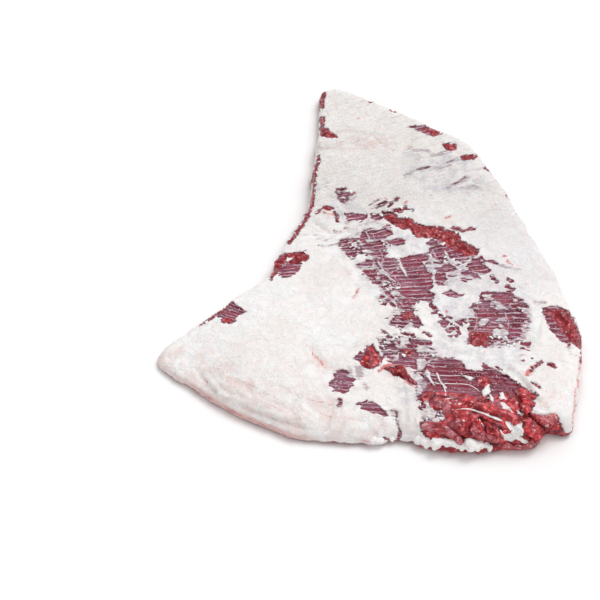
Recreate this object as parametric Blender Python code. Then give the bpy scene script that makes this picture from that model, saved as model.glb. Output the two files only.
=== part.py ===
"""Raw beef top rib: one trimmed slab of meat, lying flat with its fat cap uppermost.

Metres, +Z up.  The origin is the middle of the underside of the bounding box.
+Y runs from the thick, torn front edge to the thinner far corner.  The slab is one
grown piece, so the fat cap, the lean that shows through it and the loose lumps
along the front edge are one solid.
"""

import math
import random

import bmesh
import bpy
import numpy as np
from mathutils import Matrix, Vector, noise
from mathutils.geometry import delaunay_2d_cdt

# Edge all round, counter-clockwise from the far corner.  Each stretch has its name, the
# height of its upright side, the width over which the top rolls down to that side, and
# the plan points that its curve runs through.
EDGE = [
    ("cut side", 0.0095, 0.008, [
        (-0.028, 0.255), (-0.044, 0.248), (-0.046, 0.198), (-0.048, 0.160), (-0.053, 0.126),
        (-0.056, 0.088), (-0.059, 0.060), (-0.072, 0.034), (-0.081, 0.017), (-0.092, -0.013),
        (-0.097, -0.036), (-0.113, -0.047), (-0.135, -0.067), (-0.169, -0.097), (-0.195, -0.121)]),
    ("thin corner", 0.0055, 0.012, [(-0.205, -0.133), (-0.196, -0.146)]),
    ("smooth front", 0.0070, 0.021, [
        (-0.167, -0.170), (-0.121, -0.202), (-0.074, -0.225), (-0.028, -0.232),
        (0.021, -0.228), (0.038, -0.230), (0.055, -0.236)]),
    ("torn front", 0.0095, 0.012, [(0.080, -0.241), (0.115, -0.239), (0.143, -0.240)]),
    ("notch", 0.0075, 0.012, [(0.153, -0.232), (0.161, -0.219), (0.175, -0.224)]),
    ("round side", 0.0080, 0.015, [
        (0.185, -0.221), (0.192, -0.187), (0.202, -0.143), (0.205, -0.102),
        (0.200, -0.077), (0.186, -0.021), (0.165, 0.037), (0.141, 0.107), (0.113, 0.161)]),
    ("far side", 0.0085, 0.010, [(0.068, 0.188), (0.008, 0.235)]),
]
FRONT_BELOW = -0.200        # the edge is its front where y is below this
EDGE_STEP = 0.0075          # spacing of the edge's vertices
CURVE_STEPS = 12            # points worked out between two of the edge's plan points
FOOT_INSET = 0.005          # the flat underside starts this far in from the side
FOOT_RISE = 0.003           # height at which the side becomes upright

# Thickness at named places: (x, y, thickness)
THICKNESS = {
    "thin corner": (-0.205, -0.133, 0.011),
    "fat lobe": (-0.090, -0.130, 0.026),
    "smooth front": (-0.020, -0.222, 0.020),
    "torn corner": (0.110, -0.215, 0.029),
    "round side": (0.185, -0.110, 0.024),
    "middle": (0.060, -0.040, 0.035),
    "upper": (0.020, 0.150, 0.030),
    "far corner": (-0.030, 0.240, 0.021),
}
THICKNESS_BLEND = 0.030     # how softly one place's thickness passes into the next

# Swells and hollows of the fat: (x, y, half length, half width, turn in degrees, height)
SWELLS = {
    "lobe crown": (-0.085, -0.120, 0.085, 0.050, 35, 0.0045),
    "lobe shoulder": (-0.010, -0.120, 0.045, 0.035, 60, 0.0025),
    "right pad": (0.170, -0.170, 0.045, 0.030, 75, 0.0050),
    "upper back": (0.060, 0.090, 0.090, 0.045, -50, 0.0035),
    "rib dip": (0.045, -0.040, 0.055, 0.045, 0, -0.0030),
    "low dip": (0.120, -0.100, 0.040, 0.035, 0, -0.0020),
}

# Creases pressed into the fat: depth, half width, and the line each follows
CREASES = {
    "front fold": (0.0018, 0.0070, [(-0.168, -0.143), (-0.120, -0.172), (-0.060, -0.200),
                                    (-0.010, -0.212)]),
    "lobe fold": (0.0016, 0.0060, [(-0.058, -0.140), (-0.050, -0.168), (-0.034, -0.205)]),
    "low fold": (0.0030, 0.0040, [(0.018, -0.208), (0.026, -0.225), (0.024, -0.236)]),
    "right fold": (0.0024, 0.0055, [(0.150, -0.085), (0.152, -0.110), (0.148, -0.145),
                                    (0.158, -0.160), (0.176, -0.158)]),
    "far fold": (0.0014, 0.0080, [(-0.020, 0.205), (0.020, 0.175), (0.040, 0.150)]),
}

# Gaps in the fat where lean meat shows, as chains of discs: (x, y, radius)
LEAN_GAPS = {
    "cut side patch": [(-0.091, -0.033, 0.0056), (-0.078, -0.024, 0.0090),
                       (-0.065, -0.019, 0.0067)],
    "thin corner patch": [(-0.141, -0.096, 0.0056), (-0.128, -0.088, 0.0078)],
    "cut side nick": [(-0.042, 0.170, 0.0034), (-0.031, 0.162, 0.0045)],
    "far side nick": [(0.054, 0.174, 0.0028), (0.080, 0.167, 0.0045)],
    "upper band": [(-0.022, 0.042, 0.0034), (0.006, 0.041, 0.0045), (0.034, 0.032, 0.0056),
                   (0.064, 0.019, 0.0078), (0.092, 0.006, 0.0101), (0.107, -0.008, 0.0067)],
    "upper fibres": [(-0.001, 0.012, 0.0067), (0.012, -0.008, 0.0101),
                     (-0.002, -0.027, 0.0067)],
    "middle left": [(-0.006, -0.035, 0.0045), (0.009, -0.045, 0.0078), (0.020, -0.067, 0.0067)],
    "middle fibres": [(0.040, -0.024, 0.0067), (0.043, -0.042, 0.0190), (0.046, -0.065, 0.0134)],
    "middle arm": [(0.058, -0.013, 0.0078), (0.079, -0.009, 0.0090), (0.099, -0.006, 0.0078)],
    "right sliver": [(0.071, -0.038, 0.0067), (0.082, -0.030, 0.0067)],
    "far sliver": [(0.097, -0.035, 0.0067), (0.115, -0.031, 0.0056)],
    "right top": [(0.112, -0.075, 0.0056), (0.131, -0.073, 0.0067)],
    "right block": [(0.114, -0.099, 0.0123), (0.137, -0.098, 0.0123)],
    "right low": [(0.104, -0.124, 0.0078), (0.133, -0.121, 0.0101)],
    "slit": [(0.073, -0.069, 0.0028), (0.089, -0.065, 0.0034)],
    "low middle": [(0.027, -0.104, 0.0078), (0.037, -0.096, 0.0090)],
    "under middle": [(0.016, -0.137, 0.0078), (0.031, -0.142, 0.0101)],
    "red knot": [(-0.009, -0.152, 0.0067), (0.004, -0.147, 0.0078)],
    "raw fold": [(0.011, -0.164, 0.0056), (0.028, -0.171, 0.0067)],
    "lobe patch": [(-0.030, -0.171, 0.0101), (-0.029, -0.183, 0.0090)],
    "lobe slit": [(-0.011, -0.207, 0.0045), (0.004, -0.213, 0.0045)],
    "rim patch": [(0.173, -0.094, 0.0078), (0.185, -0.109, 0.0112), (0.194, -0.127, 0.0090)],
    "curl": [(0.068, -0.099, 0.0034), (0.078, -0.114, 0.0045)],
    "torn back": [(0.060, -0.166, 0.0112), (0.091, -0.182, 0.0202), (0.122, -0.198, 0.0246),
                  (0.139, -0.228, 0.0160)],
    "torn front": [(0.052, -0.206, 0.0134), (0.078, -0.232, 0.0165), (0.118, -0.240, 0.0180)],
    "torn side": [(0.151, -0.226, 0.0078), (0.162, -0.224, 0.0067)],
}
GAP_DEPTH = 0.0024          # how far the lean lies below the fat
GAP_SLOPE = 0.0024          # width of the step down to it
TORN_GAPS = ("torn back", "torn front", "red knot", "raw fold")     # muscle ripped open

# Unevenness: its height, the size of its bumps, and a number that picks its pattern
EDGE_WAVE = (0.0022, 0.017, 3.7)         # how far the knife wandered
GAP_WAVE = (0.0024, 0.011, 8.2)          # how ragged the outlines of the gaps are
BROAD_WAVE = (0.0012, 0.045, 1.3)        # soft swells of the fat
FINE_WAVE = (0.0006, 0.017, 5.1)         # dimples on them
TORN_WAVE = (0.0017, 0.010, 2.6)         # crags of the torn muscle
BALL_WAVE = (0.35, 0.625, 0.0)           # lumps and folds, as shares of their radius

# Spacing of the vertices
GRID_JITTER = 0.12                       # as a share of the spacing
GRID_CLEAR = 0.6                         # nearest a grid comes to finer rows, likewise
RIM_ROWS = (0.0022, 0.0055, 0.0100)      # rows that run along the edge
COARSE_STEP = 0.0093
FINE_STEP = 0.0042                       # along the outlines of the gaps
FINE_REACH = 0.0040
UNDER_STEP = 0.050                       # on the flat underside

# Rows of fat lumps that hang on the front edge: how many, from which x to which x, how
# far their middles lie inside the edge, and how high they hang
FAT_LUMP_ROWS = {
    "loose crumbs": (3, -0.006, 0.013, 0.0005, 0.0010),
    "front row": (13, 0.040, 0.118, 0.0005, 0.0012),
    "upper row": (6, 0.050, 0.094, 0.0045, 0.0085),
}
FAT_LUMP_RADIUS = 0.0046

# Torn muscle folds and flaps of the front corner, each from one end to the other
TORN_FOLDS = {
    "corner roll": ((0.058, -0.222), (0.092, -0.233)),
    "long fold": ((0.086, -0.209), (0.126, -0.224)),
    "back fold": ((0.084, -0.194), (0.122, -0.189)),
    "left fold": ((0.056, -0.188), (0.070, -0.215)),
    "right fold": ((0.122, -0.203), (0.147, -0.217)),
    "edge fold": ((0.104, -0.232), (0.139, -0.232)),
    "side flap": ((0.141, -0.226), (0.165, -0.221)),
    "raw lump": ((-0.009, -0.155), (0.006, -0.148)),
}
TORN_FOLD_RADIUS = 0.0068

# Tabs of fat that stand up beside the gaps, each from one end to the other
FAT_TABS = {
    "curl tab": ((0.062, -0.104), (0.072, -0.117)),
    "knot tab": ((0.018, -0.176), (0.034, -0.183)),
    "torn tab": ((0.128, -0.231), (0.142, -0.226)),
    "band tab": ((0.030, 0.047), (0.036, 0.036)),
    "right tab": ((0.142, -0.072), (0.150, -0.086)),
}
FAT_TAB_RADIUS = 0.0050
STRIP_BOW = 0.22            # how far a fold or tab bows sideways, as a share of its length

FAT, LEAN = 0, 1            # material slots


def curve_points():
    """Points along the closed edge, each with its side height and roll width."""
    stations = [(Vector(point), side, roll) for _, side, roll, points in EDGE for point in points]
    count = len(stations)
    knots = []
    for i in range(count):
        before, start, end, after = (stations[(i + k) % count][0] for k in (-1, 0, 1, 2))
        for step in range(CURVE_STEPS):
            t = step / CURVE_STEPS
            spot = 0.5 * (2 * start + (end - before) * t
                          + (2 * before - 5 * start + 4 * end - after) * t ** 2
                          + (3 * start - before - 3 * end + after) * t ** 3)
            side, roll = (stations[i][k] * (1 - t) + stations[(i + 1) % count][k] * t
                          for k in (1, 2))
            knots.append((spot.x, spot.y, side, roll))
    return np.array(knots)


def edge_ring():
    """The edge at even spacing, made slightly ragged: columns x, y, side height, roll width."""
    knots = curve_points()
    closed = np.vstack([knots, knots[:1]])
    lengths = np.hypot(*np.diff(closed[:, :2], axis=0).T)
    travelled = np.concatenate([[0], np.cumsum(lengths)])
    count = round(travelled[-1] / EDGE_STEP)
    stops = np.arange(count) * travelled[-1] / count
    ring = np.column_stack([np.interp(stops, travelled, closed[:, k]) for k in range(4)])
    ring[:, :2] += ring_normals(ring) * bumps(ring[:, :2], EDGE_WAVE)[:, None]
    return ring


def ring_normals(ring):
    """Unit vectors that point out of a counter-clockwise ring, one at each of its points."""
    along = np.roll(ring[:, :2], -2, axis=0) - np.roll(ring[:, :2], 2, axis=0)
    normals = np.column_stack([along[:, 1], -along[:, 0]])
    return normals / np.linalg.norm(normals, axis=1, keepdims=True)


def chain_distance(plan, start, end):
    """Distance from each plan point to the segment start-end, and how far along it lies."""
    start, end = np.array(start), np.array(end)
    run = end - start
    share = np.clip(((plan - start) @ run) / max(run @ run, 1e-12), 0, 1)
    return np.linalg.norm(plan - (start + share[:, None] * run), axis=1), share


def distance_to_edge(plan, ring):
    """Distance from each plan point to the edge, with that place's side height and roll."""
    best = np.full(len(plan), np.inf)
    side = np.zeros(len(plan))
    roll = np.zeros(len(plan))
    for here, there in zip(ring, np.roll(ring, -1, axis=0)):
        distance, share = chain_distance(plan, here[:2], there[:2])
        nearer = distance < best
        best[nearer] = distance[nearer]
        side[nearer] = (here[2] + (there[2] - here[2]) * share)[nearer]
        roll[nearer] = (here[3] + (there[3] - here[3]) * share)[nearer]
    return best, side, roll


def is_inside(plan, ring):
    """Whether each plan point lies inside the edge, by counting crossings."""
    inside = np.zeros(len(plan), dtype=bool)
    x, y = plan.T
    for (x0, y0), (x1, y1) in zip(ring[:, :2], np.roll(ring[:, :2], -1, axis=0)):
        if y0 == y1:
            continue
        crosses = (y0 > y) != (y1 > y)
        inside ^= crosses & (x < (x1 - x0) * (y - y0) / (y1 - y0) + x0)
    return inside


def bumps(plan, wave):
    """Smooth noise at each plan point, up and down by about the wave's height."""
    height, size, pattern = wave
    return height * np.array([noise.fractal(Vector((x / size, y / size, pattern)), 0.9, 2.1, 3)
                              for x, y in plan])


def gap_insides(plan, names=tuple(LEAN_GAPS)):
    """How far each plan point lies inside the named gaps in the fat; negative outside."""
    inside = np.full(len(plan), -1.0)
    for name in names:
        discs = LEAN_GAPS[name]
        for (x0, y0, r0), (x1, y1, r1) in zip(discs, discs[1:]):
            distance, share = chain_distance(plan, (x0, y0), (x1, y1))
            inside = np.maximum(inside, r0 + (r1 - r0) * share - distance)
    return inside + bumps(plan, GAP_WAVE)


def full_thickness(plan):
    """Thickness of the slab away from its edge."""
    weights = np.zeros(len(plan))
    total = np.zeros(len(plan))
    for x, y, thickness in THICKNESS.values():
        away = np.linalg.norm(plan - (x, y), axis=1)
        weight = 1 / (away ** 2 + THICKNESS_BLEND ** 2) ** 1.5
        weights += weight
        total += weight * thickness
    height = total / weights
    for x, y, half_length, half_width, turn, rise in SWELLS.values():
        turn = math.radians(turn)
        dx, dy = (plan - (x, y)).T
        along = (dx * math.cos(turn) + dy * math.sin(turn)) / half_length
        across = (dy * math.cos(turn) - dx * math.sin(turn)) / half_width
        height += rise * np.exp(-along ** 2 - across ** 2)
    for depth, half_width, line in CREASES.values():
        away = np.min([chain_distance(plan, a, b)[0] for a, b in zip(line, line[1:])], axis=0)
        height -= depth * np.exp(-(away / half_width) ** 2)
    return height + bumps(plan, BROAD_WAVE) + bumps(plan, FINE_WAVE)


def top_heights(plan, ring):
    """Height of the top skin over each plan point."""
    distance, side, roll = distance_to_edge(plan, ring)
    full = np.maximum(full_thickness(plan), side + 0.001)
    reach = np.clip(distance / roll, 0, 1)
    height = side + (full - side) * np.sqrt(1 - (1 - reach) ** 2)
    sunk = np.clip(gap_insides(plan) / GAP_SLOPE, 0, 1)
    torn = np.clip(gap_insides(plan, TORN_GAPS) / GAP_SLOPE, 0, 1)
    relief = torn * bumps(plan, TORN_WAVE) - sunk * GAP_DEPTH
    return height + relief * np.clip(distance / RIM_ROWS[1], 0, 1)


def hex_grid(step, ring, seed):
    """A jittered triangular grid inside a ring."""
    dice = random.Random(seed)
    jitter = GRID_JITTER * step
    low, high = ring[:, :2].min(axis=0), ring[:, :2].max(axis=0)
    points = []
    rows = int((high[1] - low[1]) / (step * math.sqrt(0.75))) + 1
    for row in range(rows):
        y = low[1] + row * step * math.sqrt(0.75)
        for column in range(int((high[0] - low[0]) / step) + 1):
            x = low[0] + (column + 0.5 * (row % 2)) * step
            points.append((x + dice.uniform(-jitter, jitter), y + dice.uniform(-jitter, jitter)))
    points = np.array(points)
    return points[is_inside(points, ring)]


def inner_grid(step, ring, seed):
    """The part of a grid that lies clear of the rows along the edge."""
    grid = hex_grid(step, ring, seed)
    return grid[distance_to_edge(grid, ring)[0] > RIM_ROWS[-1] + GRID_CLEAR * step]


def top_plan(ring):
    """Plan points of the top skin inside its edge."""
    inward = -ring_normals(ring)
    rows = []
    for offset in RIM_ROWS:
        row = ring[:, :2] + inward * offset
        clear = distance_to_edge(row, ring)[0] > 0.93 * offset      # not where a bend crowds it
        rows.append(row[clear & is_inside(row, ring)])
    fine = inner_grid(FINE_STEP, ring, 4)
    wanted = np.abs(gap_insides(fine) - GAP_SLOPE / 2) < FINE_REACH
    fine = fine[wanted | (gap_insides(fine, TORN_GAPS) > 0)]
    coarse = inner_grid(COARSE_STEP, ring, 5)
    apart = np.min([np.linalg.norm(coarse - spot, axis=1) for spot in fine], axis=0)
    return np.vstack([*rows, fine, coarse[apart > GRID_CLEAR * COARSE_STEP]])


def add_skin(mesh, ring, inner, heights_of):
    """A skin over a ring and the plan points inside it: its ring of vertices, its faces."""
    count = len(ring)
    spots = [Vector(point) for point in np.vstack([ring[:, :2], inner])]
    loop = [(i, (i + 1) % count) for i in range(count)]
    plan, _, triangles, origins, _, _ = delaunay_2d_cdt(spots, loop, [], 0, 1e-7, True)
    plan = np.array([tuple(point) for point in plan])
    verts = [mesh.verts.new((x, y, z)) for (x, y), z in zip(plan, heights_of(plan))]
    rim = [None] * count
    for vert, sources in zip(verts, origins):
        for source in sources:
            if source < count:
                rim[source] = vert
    centres = np.array([plan[face].mean(axis=0) for face in triangles])
    kept = is_inside(centres, ring)
    faces = [mesh.faces.new([verts[i] for i in face])
             for face, keep in zip(triangles, kept) if keep]
    return rim, faces


def bridge(mesh, upper, lower):
    """A band of side faces between two rings of vertices, one below the other."""
    for i in range(len(upper)):
        j = (i + 1) % len(upper)
        mesh.faces.new((upper[i], lower[i], lower[j], upper[j])).material_index = LEAN


def build_slab():
    """The slab: a relief top, upright sides with a chamfered foot, and a flat underside."""
    ring = edge_ring()
    mesh = bmesh.new()
    rim, top = add_skin(mesh, ring, top_plan(ring), lambda plan: top_heights(plan, ring))
    for vert, side in zip(rim, ring[:, 2]):
        vert.co.z = side
    centres = np.array([face.calc_center_median().xy for face in top])
    for face, inside in zip(top, gap_insides(centres)):
        face.material_index = LEAN if inside > GAP_SLOPE * 0.6 else FAT

    side_foot = [mesh.verts.new((x, y, FOOT_RISE)) for x, y in ring[:, :2]]
    foot_ring = np.column_stack([ring[:, :2] - ring_normals(ring) * FOOT_INSET, ring[:, 2:]])
    under = hex_grid(UNDER_STEP, foot_ring, 6)
    under = under[distance_to_edge(under, foot_ring)[0] > UNDER_STEP / 3]
    foot, underside = add_skin(mesh, foot_ring, under, lambda plan: np.zeros(len(plan)))
    for face in underside:
        face.material_index = LEAN
    bridge(mesh, rim, side_foot)
    bridge(mesh, side_foot, foot)
    bmesh.ops.delete(mesh, geom=[v for v in mesh.verts if not v.link_faces], context="VERTS")
    bmesh.ops.triangulate(mesh, faces=mesh.faces[:])
    bmesh.ops.recalc_face_normals(mesh, faces=mesh.faces[:])
    return mesh, ring


def rough_ball(name, centre, radii, run, slot, dice, detail=2, bow=0):
    """An uneven ball stretched along run (a plan direction), as an object of its own."""
    mesh = bmesh.new()
    bmesh.ops.create_icosphere(mesh, subdivisions=detail, radius=1)
    place = Vector((dice.uniform(0, 50), dice.uniform(0, 50), 0))
    rough, grain, _ = BALL_WAVE
    for vert in mesh.verts:
        vert.co *= 1 + rough * noise.noise(vert.co / grain + place)
        vert.co.y += bow * radii[0] / radii[1] * (1 - vert.co.x ** 2)
    turn = Matrix.Rotation(math.atan2(run[1], run[0]), 4, "Z")
    stretch = Matrix.Diagonal((*radii, 1))
    bmesh.ops.transform(mesh, matrix=Matrix.Translation(centre) @ turn @ stretch, verts=mesh.verts)
    for face in mesh.faces:
        face.material_index = slot
    return as_object(name, mesh)


def as_object(name, mesh):
    data = bpy.data.meshes.new(name)
    mesh.to_mesh(data)
    mesh.free()
    obj = bpy.data.objects.new(name, data)
    bpy.context.scene.collection.objects.link(obj)
    return obj


def add_fat_lumps(ring):
    """Rows of small fat lumps that hang on the front edge."""
    dice = random.Random(21)
    front = ring[ring[:, 1] < FRONT_BELOW]
    front = front[np.argsort(front[:, 0])]
    lumps = []
    for name, (count, start, end, inset, height) in FAT_LUMP_ROWS.items():
        for i in range(count):
            x = start + (end - start) * (i + 0.5) / count + dice.uniform(-0.0015, 0.0015)
            y = np.interp(x, front[:, 0], front[:, 1]) + inset + dice.uniform(-0.001, 0.001)
            radius = FAT_LUMP_RADIUS * dice.uniform(0.75, 1.25)
            radii = (radius * dice.uniform(1.0, 1.35), radius, radius * dice.uniform(0.75, 0.95))
            centre = (x, y, radius * 1.1 + height)
            lumps.append(rough_ball(f"{name} {i}", centre, radii, (1, 0), FAT, dice))
    return lumps


def add_strips(strips, radius, flatness, lift, slot, ring, seed, detail):
    """Uneven rolls that lie half sunk in the top, each between its two named ends."""
    dice = random.Random(seed)
    rolls = []
    for name, (start, end) in strips.items():
        run = np.array(end) - np.array(start)
        middle = (np.array(start) + np.array(end)) / 2
        z = top_heights(middle[None, :], ring)[0] + lift
        radii = (np.linalg.norm(run) * 0.56, radius * dice.uniform(0.8, 1.15), radius * flatness)
        bow = dice.uniform(-STRIP_BOW, STRIP_BOW)
        rolls.append(rough_ball(name, (*middle, z), radii, run, slot, dice, detail, bow))
    return rolls


def fuse(slab, pieces):
    """Join the pieces into the slab by one Boolean union, then drop them."""
    group = bpy.data.collections.new("fused pieces")
    bpy.context.scene.collection.children.link(group)
    for piece in pieces:
        bpy.context.scene.collection.objects.unlink(piece)
        group.objects.link(piece)
        for material in slab.data.materials:
            piece.data.materials.append(material)
    union = slab.modifiers.new("fuse", "BOOLEAN")
    union.operation = "UNION"
    union.operand_type = "COLLECTION"
    union.collection = group
    union.solver = "MANIFOLD"
    bpy.context.view_layer.objects.active = slab
    bpy.ops.object.modifier_apply(modifier=union.name)
    for piece in pieces:
        bpy.data.objects.remove(piece)
    bpy.data.collections.remove(group)


def centre_on_origin(slab):
    """Move the mesh so that the middle of its bounding box's underside is the origin."""
    corners = np.array([tuple(vert.co) for vert in slab.data.vertices])
    low, high = corners.min(axis=0), corners.max(axis=0)
    shift = Vector((-(low[0] + high[0]) / 2, -(low[1] + high[1]) / 2, -low[2]))
    slab.data.transform(Matrix.Translation(shift))


def meat_material(name, colour, roughness):
    material = bpy.data.materials.new(name)
    material.use_nodes = True
    shader = material.node_tree.nodes["Principled BSDF"]
    shader.inputs["Base Color"].default_value = (*colour, 1)
    shader.inputs["Roughness"].default_value = roughness
    shader.inputs["Metallic"].default_value = 0
    return material


def main():
    for obj in list(bpy.data.objects):
        bpy.data.objects.remove(obj)
    mesh, ring = build_slab()
    slab = as_object("beef_top_rib", mesh)
    slab.data.materials.append(meat_material("beef fat", (0.83, 0.78, 0.75), 0.42))
    slab.data.materials.append(meat_material("beef lean", (0.26, 0.035, 0.045), 0.35))
    pieces = add_fat_lumps(ring)
    pieces += add_strips(TORN_FOLDS, TORN_FOLD_RADIUS, 0.50, -0.0002, LEAN, ring, 33, 3)
    pieces += add_strips(FAT_TABS, FAT_TAB_RADIUS, 0.50, 0.0006, FAT, ring, 35, 2)
    fuse(slab, pieces)
    centre_on_origin(slab)
    slab.data.shade_smooth()
    slab.data.set_sharp_from_angle(angle=math.radians(50))


main()
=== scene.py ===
"""Raw beef top rib: the looks of one trimmed slab that lies flat, its fat cap uppermost.

Metres, +Z up.  The slab is a fine copy of the frame's solid.  Where lean meat shows
through the fat is drawn as named outlines in pixels of the photograph; each point of the
mesh is looked up there through the same camera, so an outline lands where it shows.
"""

import itertools
import math
import random

import bpy
import numpy as np
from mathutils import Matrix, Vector
from mathutils.bvhtree import BVHTree


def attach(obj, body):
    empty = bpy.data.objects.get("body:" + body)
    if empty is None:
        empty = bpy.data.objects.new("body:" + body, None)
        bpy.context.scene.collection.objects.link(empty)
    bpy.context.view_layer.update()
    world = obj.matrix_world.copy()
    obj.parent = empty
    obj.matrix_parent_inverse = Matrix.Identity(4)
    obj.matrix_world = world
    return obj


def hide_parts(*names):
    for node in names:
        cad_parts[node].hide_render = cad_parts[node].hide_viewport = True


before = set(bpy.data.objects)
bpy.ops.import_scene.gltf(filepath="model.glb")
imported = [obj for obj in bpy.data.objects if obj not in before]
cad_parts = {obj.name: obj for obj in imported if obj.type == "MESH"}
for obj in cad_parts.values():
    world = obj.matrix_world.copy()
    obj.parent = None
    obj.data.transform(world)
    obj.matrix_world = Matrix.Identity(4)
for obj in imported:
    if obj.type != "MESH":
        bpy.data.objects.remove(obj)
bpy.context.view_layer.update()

# ---- Camera: where the photograph was taken from ----------------------------------------

PHOTO_SIDE = 600                    # pixels
LENS = 96.0                         # mm
SENSOR = 36.0                       # mm
CAMERA_TILT = 48.0                  # degrees down from level
CAMERA_AWAY = 1.6
CAMERA_TARGET = (-0.0683, -0.0566, 0.0)
SQUEEZE = math.sin(math.radians(CAMERA_TILT))       # level lengths up the picture
FOCAL = PHOTO_SIDE * LENS / SENSOR  # pixels

# ---- Light: each strength is the share of white that it gives a level surface ------------

SKY_LIGHT = 0.72                    # even, from all round
KEY_LIGHT = 0.36                    # one broad soft lamp
KEY_HEIGHT = 62                     # degrees above level
KEY_AZIMUTH = -50                   # degrees: it stands behind the slab, to the right
KEY_SPREAD = 38                     # degrees across
GLINT_LIGHT = 0.06                  # a small lamp beside it, for glints on wet flesh
GLINT_SPREAD = 5

# ---- Sizes ------------------------------------------------------------------------------

MM = 0.001
WELD = 0.02 * MM                    # vertices of the solid nearer than this are one
VOXEL = 2.4 * MM                    # spacing of the slab's mesh; half that on the lean, a
                                    # quarter along the borders between lean and fat
LUMP_VOXEL = 0.7 * MM
CAP_SMOOTHING = 26                  # passes that even out the solid's facets
CAP_LOW = 12 * MM                   # the cap is the part above this
UNDERSIDE = 1.0 * MM                # below this the slab is its flat underside
FLOOR_SIDE = 24.0
REACH = 8.0                         # furthest that an outline is felt, in mm
HALVED = ((REACH + 1, 2.2), (0.45, 0.6))    # how far inside and outside the lean's edge, mm

STEP_DOWN = 1.3                     # from the fat down to the lean, mm
STEP_WIDTH = 1.1                    # mm
STRIPED_SPREAD = 0.65               # how far the ragged lean is widened, mm
RAW_SPREAD = 0.9
ISLAND_SPREAD = 0.5
LIP_HEIGHT = 0.8                    # the fat's rolled lip, mm
LIP_AWAY = 1.5
LIP_WIDTH = 1.1
CREASE_DEPTH = 1.3                  # mm
CREASE_WIDTH = 1.8
FOOT_FADE = (0.3, 4.0)              # the relief sets in between these heights, mm
BUNDLE_PITCH = 5.5                  # one bundle of muscle fibres, mm
BUNDLE_RIDGE = 0.22                 # how far each bundle stands up, mm
COMB = 2.4                          # how far single bundles run in under the fat, mm
COMB_TEETH = 1.3                    # the same for the fibres within a bundle, mm

FLAKES = 170                        # torn bits of fat that lie along the gaps
FLAKE_LENGTH = (2.0, 5.2)           # mm
FLAKE_SPREAD = 3.2                  # nearest two flakes lie, mm
FLAP_THICKNESS = 1.6                # mm
FLAP_SQUARES = (44, 14)             # along it and across it
LUMP_ROUGH = 0.22                   # a lump's roughness as a share of its size
LUMP_FOOT = 0.3                     # how low a lump hangs, mm above what the slab lies on
STRAND_RISE = 0.35                  # a strand's middle above the lean, mm
STRAND_FLAT = 0.7                   # how thick it is for its width

# Unevenness of each surface: (height in mm, size of its bumps in mm, octaves)
LIP_WAVE = (1.0, 9.0, 2)
FAT_SWELLS = (0.85, 24.0, 2)
FAT_LUMPS = (0.50, 8.5, 2)
FAT_STRIAE = (0.42, 3.2, 2)
FIBRE_WAVE = (0.18, 2.4, 2)
RAW_CRAGS = (1.3, 6.0, 3)
RAW_GRAINS = (0.45, 2.6, 2)
TORN_CRAGS = (1.0, 9.0, 3)
WALL_CRAGS = (0.9, 5.0, 3)
LUMP_WAVE = (0.40, 4.0, 3)
FLAP_FOLDS = (0.5, 3.0, 3)
FLAP_SWELLS = (0.9, 9.0, 1)
FLAKE_CRUMPLE = (0.10, 1.0, 2)      # for a flake 1 long
WALL_SWELL = 0.7                    # mm, makes up for what the smoothing takes off

# How far what is drawn strays from its outline, likewise
WANDER_ASIDE = (1.2, 5.0, 2)
WANDER_UP = (1.1, 5.0, 2)
WANDER_FINE = (0.3, 1.9, 1)
RELIEF_WANDER = (1.6, 6.0, 2)
WALL_EDGE = (2.2, 9.0, 3)

# Flecks and streaks of lean, likewise, in the drawn-out patterns below
FLECK_WAVE = (3.2, 1.0, 2)
STREAK_WAVE = (3.4, 1.0, 3)

# Noise drawn out along the fibre bundles: (length in mm, bumps for each bundle)
COMB_PATTERN = (26, 1.1)
TEETH_PATTERN = (5.5, 2.3)
FLECK_PATTERN = (9, 1.5)
STREAK_PATTERN = (11, 1.25)
GRAIN_PATTERN = (4.2, BUNDLE_PITCH)

# Noise drawn out into a grain: bumps a metre along x, y and z
STRIP_GRAIN = (55, 55, 620)
TENDON_GRAIN = (160, 520, 400)
FOLD_GRAIN = (130, 420, 300)

# Numbers that scatter the noise's slopes
CELL_PRIMES = np.array([73856093, 19349663, 83492791])
CODE_PRIME = 1274126177
SLOPES = 4096
TINY = 1e-12                        # keeps a division from being by nothing

# How steeply the bundles fall to the right, by height in the picture in pixels; towards the
# thin corner, left of its u, they turn further
BUNDLE_SLOPES = {150: 0.30, 235: 0.20, 262: 0.09, 300: 0.03, 335: -0.04, 400: -0.06}
BUNDLE_MIDDLE_U = 440
THIN_CORNER_U = 262
THIN_CORNER_SLOPE = 0.45
LINED_V = (290, 230)                # the fat's fine lines grow up the picture between these

# ---- Parts of the slab ------------------------------------------------------------------

X, Y = 0, 1

# Each sets in along an axis, from nothing at the first place to all at the second, in metres
ZONES = {
    "far fat": [(Y, -0.03, 0.20)],
    "lined fat": [(Y, -0.02, 0.07)],
    # the middle of the right side, greyed as painted shade
    "fat in painted shade": [(X, 0.07, 0.13), (Y, -0.09, -0.04), (Y, 0.07, 0.0)],
    "front": [(X, 0.06, 0.02)],
    "pale lean": [(Y, -0.12, -0.16), (X, 0.05, 0.03)],
    "red folds": [(X, 0.11, 0.14)],
    "strip": [(X, -0.045, -0.080), (Y, -0.11, -0.14)],
}
FRONT_SLANT = 0.477                 # how far the smooth front runs aside for each step forward
FRONT_SETS_IN = (-0.190, -0.222)    # metres along y at x = 0
STRIP_TOP = 9.5                     # height of the pinkish cut strip along the front, mm
STRIP_FOOT = (0.6, 1.8)             # it starts between these heights, mm
STRIP_FADE = (-0.19, -0.15)         # and is fainter towards the thin corner, metres along x
TURNED_AWAY = (-0.22, 0.02)         # how far a side turns from the camera before nothing is read
SIDE_TOP = (16, 12)                 # height below which that holds, mm

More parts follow.
